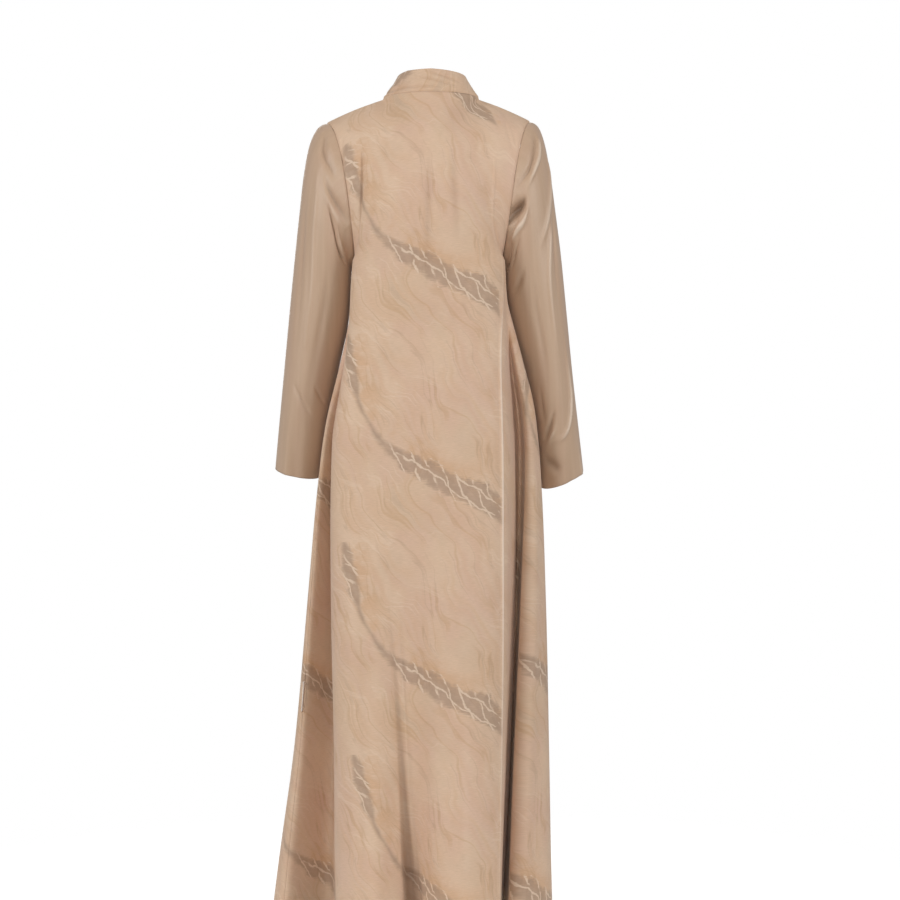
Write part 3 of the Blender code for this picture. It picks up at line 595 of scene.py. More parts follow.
# Each crease is a line of stations over the cloth: fold number (or turn of the sleeve, 0 at the inside seam,
# 0.25 front, 0.5 outside, 0.75 back), z (or millimetres down the sleeve), half width and height in
# millimetres. A height under 0 is a trough.
creases = {
    "back": (
        # the pressed edge of the back panel, down its right side
        ((17.02, -120, 2.2, 0.7), (16.4, -230, 2.5, 0.9), (15.3, -330, 2.8, 1.8), (14.9, -470, 2.8, 3.2),
         (14.88, -700, 2.8, 3.6), (14.9, -1000, 3.2, 3.4), (14.95, -1300, 3.6, 2.6), (15, -1473, 4, 2)),
        # the soft fold beside the left armhole, and a short one on the armhole's edge
        ((8.14, -96, 3, 0), (8.14, -122, 3.2, -3.6), (8.08, -171, 3.2, -5.4), (8, -214, 3.2, -4.8),
         (7.93, -257, 3.6, -2.4), (7.9, -300, 3.6, 0)),
        ((8.5, -100, 6, 0), (8.6, -170, 7, 1.2), (8.5, -250, 7, 1), (8.6, -330, 7, 0)),
        ((7.35, -74, 2.8, 0), (7.2, -98, 3, -2.4), (7.03, -128, 3, -0.8)),
        # two lines from the neck to the right armhole
        ((16.9, -42, 3, 0), (18, -78, 3, -1.6), (18.85, -122, 3, 0)),
        ((17.7, -52, 3, 0), (18.5, -84, 3, -1.2), (18.95, -110, 3, 0)),
        # shallow hollows down the upper back
        ((11.9, -96, 7, 0), (11.88, -150, 8, -2.8), (11.85, -240, 9, -3.2), (11.8, -330, 9, -1.8),
         (11.8, -400, 8, 0)),
        ((13.7, -96, 7, 0), (13.62, -150, 8, -3), (13.4, -230, 9, -2.8), (13.2, -300, 8, 0)),
        # beside the ribbon in the left side seam
        ((7.034, -1062, 1.8, 0), (7.034, -1078, 2, -4), (7.034, -1108, 2, -3.4), (7.034, -1126, 1.8, 0)),
        # the fold that opens below the hip in the middle of the back
        ((10.42, -880, 5, 0), (10.55, -980, 5.5, -2), (10.62, -1060, 6, -3.2), (10.69, -1160, 8, -4.8),
         (10.78, -1270, 10, -7.6), (10.86, -1380, 12.5, -12), (10.97, -1473, 14, -16)),
        ((10.66, -920, 4, 0), (10.76, -1020, 4, 1.6), (10.84, -1150, 4, 2.2), (10.93, -1300, 4.5, 3.2),
         (11.08, -1473, 5, 4.6)),
        ((13.4, -720, 14, 0), (13.3, -980, 16, 1.4), (13.2, -1300, 18, 1.8), (13.2, -1473, 18, 1.4)),
        ((9.6, -640, 9, 0), (9.7, -900, 10, -1.2), (9.7, -1200, 11, -1.8), (9.7, -1473, 12, -1.4)),
    ),
    "front_left": (
        ((1.6, -120, 6, 0), (1.7, -330, 7, 1.8), (1.8, -620, 8, 2.2), (2, -980, 9, 1.6),
         (2.1, -1300, 9, 1)),
        ((3.3, -210, 5, 0), (3.5, -380, 6, -2), (3.5, -640, 7, -1.5), (3.4, -900, 7, 0)),
        ((5.9, -118, 3, 0), (6.2, -165, 3.5, -2.2), (6.7, -215, 3.5, -1.5), (6.95, -250, 3, 0)),
        ((4.6, -258, 4, 0), (5.2, -284, 4.5, -2), (6, -322, 4, 0)),
        ((6.966, -1062, 1.8, 0), (6.966, -1078, 2, -3.4), (6.966, -1108, 2, -2.8), (6.966, -1126, 1.8, 0)),
        ((4.9, -700, 8, 0), (5, -1000, 10, 2), (5.1, -1350, 10, 2.5), (5.1, -1473, 10, 2.5)),
    ),
    "front_right": (
        ((24.2, -150, 6, 0), (24.1, -350, 7, 1.6), (24, -700, 8, 2), (23.9, -1100, 9, 1.2),
         (23.8, -1400, 8, 0.8)),
        ((22.4, -230, 5, 0), (22.5, -420, 6, -1.8), (22.6, -700, 7, -1.2), (22.6, -860, 6, 0)),
        ((20.4, -110, 3, 0), (20, -160, 3.5, -2), (19.4, -215, 3, -1.2), (19.1, -245, 3, 0)),
        ((21.8, -255, 4, 0), (21, -290, 4.5, -2.2), (20.2, -330, 4, 0)),
        ((21.4, -760, 8, 0), (21.3, -1100, 10, 2.2), (21.2, -1473, 10, 2.4)),
    ),
    "sleeve_left": (
        # at the back of the armhole: a curved crease close to the seam, a lobe under it and two more creases
        ((0.57, 14, 2.9, 0), (0.6, 17, 3.1, -3.3), (0.63, 23, 3.4, -5.3), (0.66, 22, 3.4, -4.9),
         (0.69, 17, 3.4, -4), (0.72, 13, 2.9, 0)),
        ((0.6, 7, 4.5, 0), (0.65, 12, 5, 2.4), (0.7, 8, 4.5, 1.3)),
        ((0.64, 17, 2.2, 0), (0.67, 13, 2.5, -2.6), (0.69, 10, 2.2, -0.8)),
        ((0.685, 34, 3.4, 0), (0.71, 33, 4, -4.3), (0.74, 28, 4.3, -5.6), (0.78, 17, 4, -5.3),
         (0.82, 6, 3.4, -2.5)),
        ((0.7, 44, 5.6, 0), (0.74, 41, 6, 2.6), (0.79, 29, 6, 2.8), (0.83, 14, 5.6, 1.4)),
        ((0.735, 42, 4.5, 0), (0.765, 49, 5, -4.6), (0.795, 53, 5.4, -5.9), (0.825, 61, 5.4, -5.9),
         (0.86, 58, 5.2, -4.9), (0.9, 46, 4.5, -0.8)),
        ((0.8, 37, 6, 1), (0.84, 44, 7, 2.8), (0.88, 38, 6, 1.4)),
        # long soft ridges and hollows down the sleeve
        ((0.645, 40, 7, 0), (0.68, 75, 8, 2), (0.69, 125, 8, 2.3), (0.71, 195, 8, 2.3), (0.72, 300, 8, 1)),
        ((0.6, 90, 9, 0), (0.62, 150, 9, -2), (0.645, 250, 10, -2), (0.66, 340, 9, 0)),
        ((0.78, 110, 9, 0), (0.79, 200, 10, -2.1), (0.78, 320, 10, -1.6), (0.77, 420, 9, 0)),
        ((0.66, 380, 8, 0), (0.67, 470, 9, 1.6), (0.67, 575, 9, 2)),
        ((0.74, 410, 8, 0), (0.74, 500, 9, -1.6), (0.735, 580, 9, -1.6)),
        # the elbow
        ((0.67, 380, 4.5, 0), (0.71, 388, 5, -2.6), (0.75, 397, 5.6, -3.3), (0.8, 405, 5, -0.8)),
        ((0.8, 350, 5.6, 0), (0.85, 362, 6, -3), (0.9, 366, 5.6, -1)),
        # the same kinds at the front
        ((0.41, 15, 2.9, 0), (0.37, 22, 3.4, -4.3), (0.32, 19, 3.4, -2.6), (0.29, 14, 2.9, 0)),
        ((0.33, 35, 4, 0), (0.28, 32, 4.5, -5.3), (0.22, 18, 4.3, -3.3)),
        ((0.29, 56, 5, 0), (0.23, 60, 5.6, -4.9), (0.15, 48, 4.5, -1)),
        ((0.1, 316, 6, 0), (0.19, 340, 6.5, -5.6), (0.29, 349, 6.5, -4.6), (0.38, 338, 5.6, 0)),
        ((0.13, 356, 5.6, 0), (0.22, 373, 6, -4.6), (0.33, 368, 5.6, 0)),
        ((0.15, 296, 5.6, 0), (0.23, 291, 6, -3.3), (0.31, 303, 5.6, 0)),
        ((0.36, 90, 9, 0), (0.35, 200, 10, 2.3), (0.36, 300, 9, 0)),
        ((0.3, 400, 9, 0), (0.29, 490, 10, -2.3), (0.3, 580, 10, -2)),
    ),
    "sleeve_right": (
        # at the back of the armhole: a ridge along the seam, with a crease either side of it
        ((0.575, 18, 3.1, 0), (0.6, 21, 3.4, -4.3), (0.64, 26, 3.4, -5.3), (0.68, 25, 3.4, -5.3),
         (0.72, 14, 3.1, -3.3), (0.75, 6, 2.9, -0.8)),
        ((0.57, 22, 4.5, 1), (0.59, 31, 4.5, 4.6), (0.62, 38, 4.5, 4.9), (0.66, 37, 4.5, 4.3),
         (0.71, 31, 4.5, 1.6)),
        # the hollow that folds in at the back of the underarm, and the fold of cloth below it
        ((0.735, 42, 4.5, -1.6), (0.75, 34, 6, -12), (0.775, 21, 7, -17), (0.8, 9, 7, -15),
         (0.825, 1, 6, -7)),
        ((0.72, 52, 5.6, 0), (0.77, 50, 5.5, 4.6), (0.81, 34, 5.5, 5.6), (0.85, 20, 5.6, 2.6)),
        ((0.86, 26, 5.6, -0.8), (0.89, 34, 6, -8.2), (0.92, 34, 6, -9.1), (0.94, 24, 5.6, -3.3)),
        ((0.8, 58, 7, 0), (0.85, 56, 8, -3.3), (0.89, 62, 7, 0)),
        ((0.8, 128, 9, 0), (0.85, 122, 11, -4), (0.9, 112, 9, -1.3)),
        # long bright ridges on the outside of the upper arm
        ((0.565, 44, 6, 0), (0.55, 72, 7, 3), (0.59, 103, 7.5, 4), (0.65, 128, 7.5, 3.4),
         (0.7, 138, 7, 0.7)),
        ((0.61, 128, 6, 0), (0.635, 150, 7, 3.4), (0.66, 175, 7.5, 3.8), (0.68, 205, 8, 3.2),
         (0.69, 250, 8, 2.4), (0.69, 310, 9, 1.6), (0.68, 380, 9, 0)),
        ((0.57, 112, 6, 0), (0.6, 160, 7, -3), (0.63, 220, 8, -2.3), (0.64, 300, 8, 0)),
        ((0.76, 140, 9, 0), (0.78, 210, 10, -2.6), (0.78, 300, 10, -2), (0.79, 380, 8, 0)),
        # the hooked ridge at the elbow and the creases that end at it
        ((0.62, 300, 6, 0), (0.615, 360, 5, 2.3), (0.62, 410, 3.6, 5.4), (0.635, 430, 3.4, 6.2),
         (0.65, 443, 3.4, 6.2), (0.675, 456, 3.4, 5.8), (0.71, 463, 4, 3.6), (0.75, 463, 4.5, 1.7),
         (0.8, 458, 5, 0)),
        ((0.76, 398, 8, 0), (0.785, 412, 9, -3.6), (0.815, 423, 9.5, -5.2), (0.85, 434, 9.5, -4.6),
         (0.88, 440, 8, -1.6)),
        ((0.76, 440, 7, 0), (0.79, 442, 7, 3), (0.83, 450, 7, 2)),
        ((0.9, 470, 8, 0), (0.87, 482, 9, -4), (0.83, 495, 9.5, -5.4), (0.79, 508, 9, -4.2),
         (0.75, 518, 8, 0)),
        ((0.85, 330, 7, 0), (0.86, 370, 7, -3.6), (0.85, 405, 6, -1)),
        ((0.6, 490, 8, 0), (0.59, 520, 9, 2.6), (0.58, 560, 9, 2.6)),
        ((0.69, 500, 9, 0), (0.69, 540, 9, -2.3), (0.68, 580, 9, -2)),
        # the same kinds at the front
        ((0.42, 16, 2.9, 0), (0.38, 24, 3.4, -4.6), (0.33, 20, 3.4, -2.3), (0.3, 13, 2.9, 0)),
        ((0.34, 38, 4, 0), (0.28, 33, 4.5, -4.9), (0.21, 16, 4.3, -4)),
        ((0.27, 60, 5, 0), (0.21, 62, 5.6, -5.3), (0.14, 46, 4.5, -1)),
        ((0.12, 322, 6, 0), (0.21, 348, 6.5, -5.9), (0.3, 352, 6.5, -4), (0.4, 336, 5.6, 0)),
        ((0.11, 364, 5.6, 0), (0.2, 384, 6, -4.9), (0.31, 380, 5.6, 0)),
        ((0.17, 300, 5.6, 0), (0.25, 297, 6, -3), (0.33, 312, 5.6, 0)),
        ((0.38, 80, 9, 0), (0.36, 180, 10, 2.6), (0.37, 290, 9, 0)),
        ((0.31, 420, 9, 0), (0.3, 500, 10, -2.5), (0.31, 590, 10, -2)),
    ),
}

collarWrinkles = (
    ((86, 7, 3.2, 0), (50, 9, 3.4, -2.4), (0, 10, 3.6, -2.8), (-50, 9, 3.4, -2.6), (-88, 7, 3.2, 0)),
    ((-4, 32, 2.8, 0), (-30, 28, 3.2, -2.6), (-62, 22, 3.2, -3.4), (-96, 15, 3, -1.2)),
    ((-22, 40, 2.8, 0), (-50, 37, 3.2, -2.4), (-82, 31, 3.2, -3.2), (-108, 25, 2.8, -1)),
    ((30, 36, 3, 0), (58, 29, 3.4, -2.6), (88, 19, 3.4, -3.2), (106, 13, 3, -1)),
)

# Broad swells of the cloth, listed the same way: fuller cloth beside the sleeves, and the side of the right
# lobe that leans towards the back panel
swells = {
    "back": (
        ((16.2, -265, 11, 0), (16.2, -310, 13, 3.5), (16.2, -360, 14, 4), (16.25, -420, 12, 1.8),
         (16.3, -480, 10, 0)),
        ((17.8, -370, 12, 0), (17.8, -430, 14, 3.5), (17.9, -490, 15, 5), (17.9, -550, 14, 3.5),
         (17.9, -620, 12, 0)),
        ((7.45, -395, 10, 0), (7.45, -450, 12, 3.5), (7.45, -510, 13, 4.5), (7.45, -570, 12, 2.5),
         (7.45, -640, 10, 0)),
        ((15.55, -600, 8, 0), (15.5, -760, 9, 4), (15.5, -1000, 10, 7), (15.5, -1250, 10, 7),
         (15.5, -1473, 10, 5)),
        ((16.95, -560, 12, 0), (16.95, -680, 15, 4), (16.92, -800, 18, 8), (16.9, -1000, 20, 12),
         (16.88, -1250, 20, 14), (16.86, -1473, 20, 14)),
    ),
}


def strokes(places, stations):
    # A soft ridge along a smooth line: its height falls off as a bell curve of the distance to the line
    stations = np.array(stations, float)
    numbers = np.arange(len(stations))
    fine = np.linspace(0, numbers[-1], stationSteps * numbers[-1] + 1)
    line = smoothThrough(numbers, stations, fine)
    nearest = np.full(places.shape[:2], np.inf)
    height = np.zeros(places.shape[:2])
    for start, end in zip(line[:-1], line[1:]):
        step = end[:2] - start[:2]
        t = np.clip(((places - start[:2]) @ step) / max(step @ step, 1e-12), 0, 1)
        away = np.linalg.norm(places - start[:2] - t[..., None] * step, axis=-1)
        width = start[2] + (end[2] - start[2]) * t
        tall = start[3] + (end[3] - start[3]) * t
        closer = away < nearest
        height = np.where(closer, tall * np.exp(-((away / np.maximum(width, 1e-4)) ** 2)), height)
        nearest = np.minimum(nearest, away)
    return height


def creaseHeights(name, lines):
    # The ridges and troughs that these lines make in one piece
    places, numbers = flat[name], foldOf[name]
    total = np.zeros(places.shape[:2])
    for stations in lines:
        line = []
        for number, lower, width, height in stations:
            column = np.interp(number, numbers, np.arange(len(numbers)))
            low = int(min(column, len(numbers) - 1.001))
            mix = column - low
            acrossLine, upLine = (places[:, low] * (1 - mix) + places[:, low + 1] * mix).T
            if name in tubes:
                across, up = np.interp(lower / 1000, -upLine, acrossLine), -lower / 1000
            else:
                zLine = grids[name][:, low, 2] * (1 - mix) + grids[name][:, low + 1, 2] * mix
                across, up = (np.interp(-lower / 1000, -zLine, values) for values in (acrossLine, upLine))
            line.append((across, up, width / 1000, height / 1000))
        total += strokes(places, line)
    return total


def grooveHeights(name):
    # Sewn edges dip, more round the neck and above the underarm than below it
    grid = grids[name]
    if name in tubes:
        grid = np.concatenate([grid, grid[:, :1]], axis=1)
    rowAway, columnAway = distances(grid, axis=0), distances(grid, axis=1)
    away = [rowAway, columnAway]
    if name == "collar":
        away.append(rowAway[-1:] - rowAway)
    elif name not in bands:
        away.append(columnAway[:, -1:] - columnAway)
    deepRows = sleeve["deepRows"] if name in tubes else len(grid) if name == "collar" else yokeLast
    deeper = np.ones((len(grid), 1))
    deeper[:deepRows] = body["armholeDepth"]
    return -body["grooveDepth"] * deeper * sum(np.exp(-((a / body["grooveWidth"]) ** 2)) for a in away)


def collarHeights():
    # The collar's wrinkles: lines of stations, in millimetres along it to the left, up from its seam, half
    # width and height
    return sum(strokes(flat["collar"], np.array(line, float) / 1000) for line in collarWrinkles)


heights, moved = {}, {}
baseNormals = sharedNormals(grids)
for name, grid in grids.items():
    tall = grooveHeights(name)
    if name in creases:
        tall = tall + creaseHeights(name, creases[name])
    if name == "collar":
        tall = tall + collarHeights()
    heights[name] = tall[:, : grid.shape[1]]  # without a sleeve's closing column
    swollen = heights[name] + creaseHeights(name, swells[name]) if name in swells else heights[name]
    moved[name] = grid + baseNormals[name] * swollen[..., None]
normals = sharedNormals(moved)
print("creases and seams laid")

label = {
    "top": -1.073,
    "length": 0.055,
    "depth": 0.011,
    "turn": 3,  # degrees from square to the cloth towards the back
    "root": 0.0004,
    "fold": 0.0009,  # how far apart its two layers lie
    "thickness": 0.0004,
    "bow": 0.0006,
    "rows": 25,
    "steps": 9,  # along each layer and round the fold
}


def foldedRibbon():
    # From the side seam out, round a small half circle and back, and a little bowed along its height
    seam, facingOut = grids["back"][yokeLast:, 0], baseNormals["back"][yokeLast:, 0]
    share = np.linspace(0, 1, label["rows"])
    z = label["top"] - label["length"] * share
    root = np.column_stack([np.interp(-z, -seam[:, 2], seam[:, axis]) for axis in range(3)])
    out = np.array([np.interp(-z, -seam[:, 2], facingOut[:, axis]).mean() for axis in range(2)])
    turn = np.arctan2(out[1], out[0]) + np.radians(label["turn"])
    out, aside = np.array([np.cos(turn), np.sin(turn), 0]), np.array([-np.sin(turn), np.cos(turn), 0])
    half, steps = label["fold"] / 2, label["steps"]
    straight, angle = np.linspace(0, label["depth"] - half, steps), np.linspace(0, np.pi, steps)[1:-1]
    reach = np.concatenate([straight, label["depth"] - half + half * np.sin(angle), straight[::-1]])
    beside = np.concatenate([np.full(steps, half), half * np.cos(angle), np.full(steps, -half)])
    bow = label["bow"] * np.sin(np.pi * share)[:, None] * (reach / label["depth"])
    points = root[:, None] + out * (reach + label["root"])[None, :, None] + aside * (beside + bow)[..., None]
    along = np.concatenate([[0], np.cumsum(np.hypot(np.diff(reach), np.diff(beside)))])
    places = np.stack(np.broadcast_arrays(along[None, :], z[:, None]), axis=-1)
    return points, places


pieces = {}
for name, grid in moved.items():
    cloth = sleeve if name in tubes else band if name in bands or name == "collar" else body
    pieces[name] = wallObject(
        "cloth_" + name, grid, normals[name], flat[name], cloth["thickness"],
        name in flips, name in tubes, heights[name],
    )
    print("made", name, len(pieces[name].data.polygons), "faces")
ribbon, ribbonPlaces = foldedRibbon()
pieces["side_label"] = wallObject(
    "cloth_side_label", ribbon, unit(facing(ribbon, False)), ribbonPlaces, label["thickness"]
)


class Nodes:
    # Adds nodes to one tree; what they are given is another node's output, a number, a vector or a colour
    def __init__(self, tree):
        self.tree = tree

    def put(self, socket, value):
        if isinstance(value, bpy.types.NodeSocket):
            self.tree.links.new(value, socket)
        elif socket.type == "RGBA" and len(value) == 3:
            socket.default_value = (*value, 1)
        else:
            socket.default_value = value

    def fill(self, node, inputs):
        for place, value in inputs.items():
            self.put(node.inputs[place], value)
        return node

    def add(self, kind, inputs=None, **settings):
        made = self.tree.nodes.new("ShaderNode" + kind)
        for name, value in settings.items():
            setattr(made, name, value)
        return self.fill(made, inputs or {})

    def maths(self, operation, *values, clamp=False):
        return self.add("Math", dict(enumerate(values)), operation=operation, use_clamp=clamp).outputs[0]

    def plus(self, first, second):
        return self.maths("ADD", first, second)

    def minus(self, first, second):
        return self.maths("SUBTRACT", first, second)

    def times(self, first, second, clamp=False):
        return self.maths("MULTIPLY", first, second, clamp=clamp)

    def over(self, first, second):
        return self.maths("DIVIDE", first, second)

    def scaled(self, value, factor, start):
        return self.maths("MULTIPLY_ADD", value, factor, start)

    def size(self, value):
        return self.maths("ABSOLUTE", value)

    def centred(self, value):
        return self.minus(value, 0.5)

    def vector(self, x, y, z):
        return self.add("CombineXYZ", {0: x, 1: y, 2: z}).outputs[0]

    def noise(self, place, scale=1.0, detail=2.0, roughness=0.5, fourth=None):
        inputs = {"Vector": place, "Scale": scale, "Detail": detail, "Roughness": roughness}
        if fourth is None:
            return self.add("TexNoise", inputs).outputs["Fac"]
        return self.add("TexNoise", {**inputs, "W": fourth}, noise_dimensions="4D").outputs["Fac"]

    def threads(self, u, v, across, down, detail, roughness=0.5, layer=0.0):
        # Noise drawn out one way: so many marks a metre across, and so many down
        place = self.vector(self.times(u, across), self.times(v, down), layer)
        return self.noise(place, 1, detail, roughness)

    def step(self, value, low, high):
        # 0 below `low`, 1 above `high`, smooth between; turned round where low is the larger
        inputs = {"Value": value, "From Min": low, "From Max": high, "To Min": 0.0, "To Max": 1.0}
        return self.add("MapRange", inputs, interpolation_type="SMOOTHSTEP").outputs["Result"]

    def mixed(self, share, first, second, blend="MIX"):
        return self.add("Mix", {0: share, 6: first, 7: second}, data_type="RGBA", blend_type=blend).outputs[2]

    def grained(self, colour, grey):
        return self.mixed(1.0, colour, self.vector(grey, grey, grey), "MULTIPLY")

    def graph(self, value, table, column):
        # A smooth curve through one column of a table, against its first column
        at, heights = np.array(table, float)[:, [0, column]].T / 1000
        start, end, low, high = at[0], at[-1], heights.min(), heights.max()
        spots = np.column_stack([(at - start) / (end - start), (heights - low) / (high - low)])
        made = self.add("FloatCurve")
        points = made.mapping.curves[0].points
        points[0].location, points[1].location = spots[0], spots[-1]
        for spot in spots[1:-1]:
            points.new(*spot)
        made.mapping.update()
        self.put(made.inputs["Value"], self.over(self.minus(value, start), end - start))
        return self.scaled(made.outputs[0], high - low, low)

    def clothPlace(self):
        place = self.add("UVMap", uv_map="cloth").outputs[0]
        return self.add("SeparateXYZ", {0: place}).outputs[:2]

    def creaseHighlightAndShade(self, colour, cloth):
        # Painted highlight and shade: ridges turn paler and troughs, seam grooves among them, browner, by
        # their height
        height = self.add("Attribute", attribute_name="crease").outputs["Fac"]
        raised, sunk, deep = (self.step(height, *creaseLightSteps[part]) for part in ("raised", "sunk", "deep"))
        shade = self.scaled(deep, cloth["deep"], self.times(sunk, cloth["sink"]))
        colour = self.mixed(self.times(raised, cloth["lift"]), colour, cloth["lit"])
        return self.mixed(shade, colour, cloth["shade"])

    def surface(self, shader, colour, relief, strength, depth):
        bump = self.add("Bump", {"Strength": strength, "Distance": depth, "Height": relief})
        self.fill(shader, {"Base Color": colour, "Normal": bump.outputs[0]})


sheenRoughness = 0.45
specular = 0.25

# From which height, in metres, to which ridges get their painted highlight, troughs their brown painted
# shade, and the deepest troughs a darker painted shade
creaseLightSteps = {"raised": (0.0013, 0.0045), "sunk": (-0.0006, -0.0060), "deep": (-0.0060, -0.0180)}


def newMaterial(name, cloth):
    material = bpy.data.materials.new(name)
    material.use_nodes = True
    n = Nodes(material.node_tree)
    shader = n.fill(material.node_tree.nodes["Principled BSDF"], {
        "Roughness": cloth["roughness"],
        "Sheen Weight": cloth["sheen"],
        "Sheen Roughness": sheenRoughness,
        "Sheen Tint": cloth["sheenTint"],
        "Specular IOR Level": specular,
    })
    return material, n, shader


jacquard = {
    "roughness": 0.72,
    "sheen": 0.25,
    "sheenTint": (0.95, 0.85, 0.75),
    "bump": (0.35, 0.0006),  # strength and depth of the fine relief
    "across": 0.400,  # the width and the height of one repeat of the marbling
    "down": 0.375,
    "corner": (-0.260, -0.815),  # the lower corner of the repeat that holds the first dark band
    "middle": (-0.020, -0.620),  # a place on the line that this band follows, and how steeply the line falls
    "slant": 48,
    "ground": (0.622, 0.441, 0.308),
    "warm": (0.585, 0.375, 0.235),
    "pale": (0.684, 0.508, 0.368),
    "dark": (0.325, 0.222, 0.158),
    "ochre": (0.480, 0.290, 0.155),
    "cream": (0.740, 0.575, 0.435),
    "brown": (0.400, 0.270, 0.185),
    "rose": (0.600, 0.395, 0.300),
    "olive": (0.560, 0.420, 0.295),
    "lit": (0.86, 0.73, 0.61),  # the painted highlight that ridges turn to and the painted shade that troughs turn to, and how far
    "lift": 0.80,
    "shade": (0.165, 0.080, 0.040),
    "sink": 0.34,
    "deep": 0.40,
    # Noises round the repeat: scale, detail, roughness and shift
    "sway": (9, 2, 0.5, 0),
    "swayUp": (13, 2, 0.5, 3.7),
    "swayReach": 0.012,  # how far they move the band and its veins
    # Noises along and square to the dark band: layer, scale, detail and roughness
    "wobble": (0.3, 26, 3, 0.55),
    "ragged": (0.7, 48, 2, 0.6),
    "wave": (1, 22, 1.5, 0.5),
    "ripple": (2, 95, 2, 0.6),
    # Noises by the threads: marks a metre across and down, detail and roughness
    "hatch": (45, 430, 1, 0.5),
    "weft": (90, 900, 2, 0.6),
    "grain": (1500, 1500, 1, 0.5),
    "wobbleReach": 0.014,  # how far the band's middle strays
    "raggedWidth": (0.9, 0.55),  # how much the band's width varies, and its least share of the table's
    "hatchWidth": 0.55,
    "bandFade": (-0.005, 0.0055),  # how its edge fades, and at which half widths its ends do
    "bandEnds": (0.0005, 0.004),
    "raggedShare": (0.9, 0.45),  # how much its darkness varies, and its least darkness
    "dark band": (0.68, "dark"),  # how strongly it and its veins show, and their colours
    "cream veins": (0.72, "cream"),
    # Cream veins: how they lean off the band, their spacing, their shift, where they set in and are full
    "veins": ((0.30, 0.0215, 0.20, 0.34, 0.42), (-0.26, 0.025, 0.65, 0.42, 0.50)),
    "veinEdge": (0.0022, 0.0008),  # half a vein's width, to where it fades and where it is full
    "veinSway": (0.026, 0.0075),  # how far the wave and the ripple move them
    "veinPatches": (27, 1),  # scale and detail
    "veinOutside": (0.003, -0.002, 0.004),  # how far they pass the band's edge, and how they fade there
    "veinHalf": (0.006, 0.013),  # the half width of the band at which they set in and are full
    # Clouds of colour: scale, detail, roughness and shift of the noise, where they set in and are full, how
    # strongly they show, and the colour
    "clouds": (
        (12, 3, 0.6, 7, 0.35, 0.66, 0.55, "pale"),
        (8, 2, 0.5, 8.5, 0.42, 0.66, 0.50, "rose"),
        (15, 2, 0.55, 11, 0.50, 0.68, 0.35, "olive"),
    ),
    "smudges": (24, 3, 0.6, 4, 0.42, 0.62, 1.0, "warm"),
    "smudgesBeside": (0.75, 0.12),  # how much more they show beside the band, and how much elsewhere
    # Flowing lines: scale, shift, half width, where their patches set in and are full, detail, which way they
    # flow, how strongly they show, and the colour
    "streaks": (
        (9, 1, 0.16, 0.34, 0.60, 1.5, "steep", 0.42, "warm"),
        (7, 17, 0.20, 0.40, 0.62, 1.5, "steep", 0.40, "rose"),
    ),
    "lines": (
        (8, 1, 0.022, 0.41, 0.56, 2.5, "steep", 0.36, "ochre"),
        (13, 5, 0.026, 0.44, 0.58, 2.5, "steep", 0.26, "brown"),
        (17, 13, 0.030, 0.47, 0.60, 3, "flat", 0.30, "cream"),
    ),
    "lineRoughness": 0.45,
    "linePatches": (13, 1, 0.5, 1.3),  # scale, detail and roughness, and how much more they are shifted
    "steepSway": 0.70,  # in turns round the doughnut
    "flatSway": 0.60,
    "steepReach": (0.115, 0.028),  # the doughnut's two radii for these flows, which set how long they are
    "flatReach": (0.075, 0.030),
    # Lines that follow the band's upper side: spacing, half width as a share of it, how far they sway, how
    # far above the band they fade out and in, and how they thin out
    "followSpacing": 0.0175,
    "followWidth": 0.095,
    "followSway": (0.050, 0.020),
    "followAbove": ((0.062, 0.020), (0.002, 0.010)),
    "followPatches": (20, 1, 0.5, 21, 0.40, 0.58, 0.34, "ochre"),
    "weftShade": 0.32,  # how much the threads lighten and darken the colour
    "grainShade": 0.10,
    "relief": {"weft": 0.6, "grain": 0.5, "band": -0.35, "veins": 0.45},
}

# One dark band, in millimetres: how far down the slanted line, how far above it the band's middle runs, and
# half the band's width
darkBand = (
    (-252, 30, 0),
    (-222, 12, 5),
    (-195, -2, 12),
    (-168, -18, 13),
    (-142, -33, 9),
    (-115, -48, 4),
    (-82, -58, 3),
    (-52, -62, 4),
    (-20, -61, 10),
    (15, -53, 15),
    (50, -38, 19),
    (85, -29, 20),
    (125, -12, 24),
    (160, 2, 25),
    (188, 8, 17),
    (212, 4, 5),
    (235, -6, 0),
)


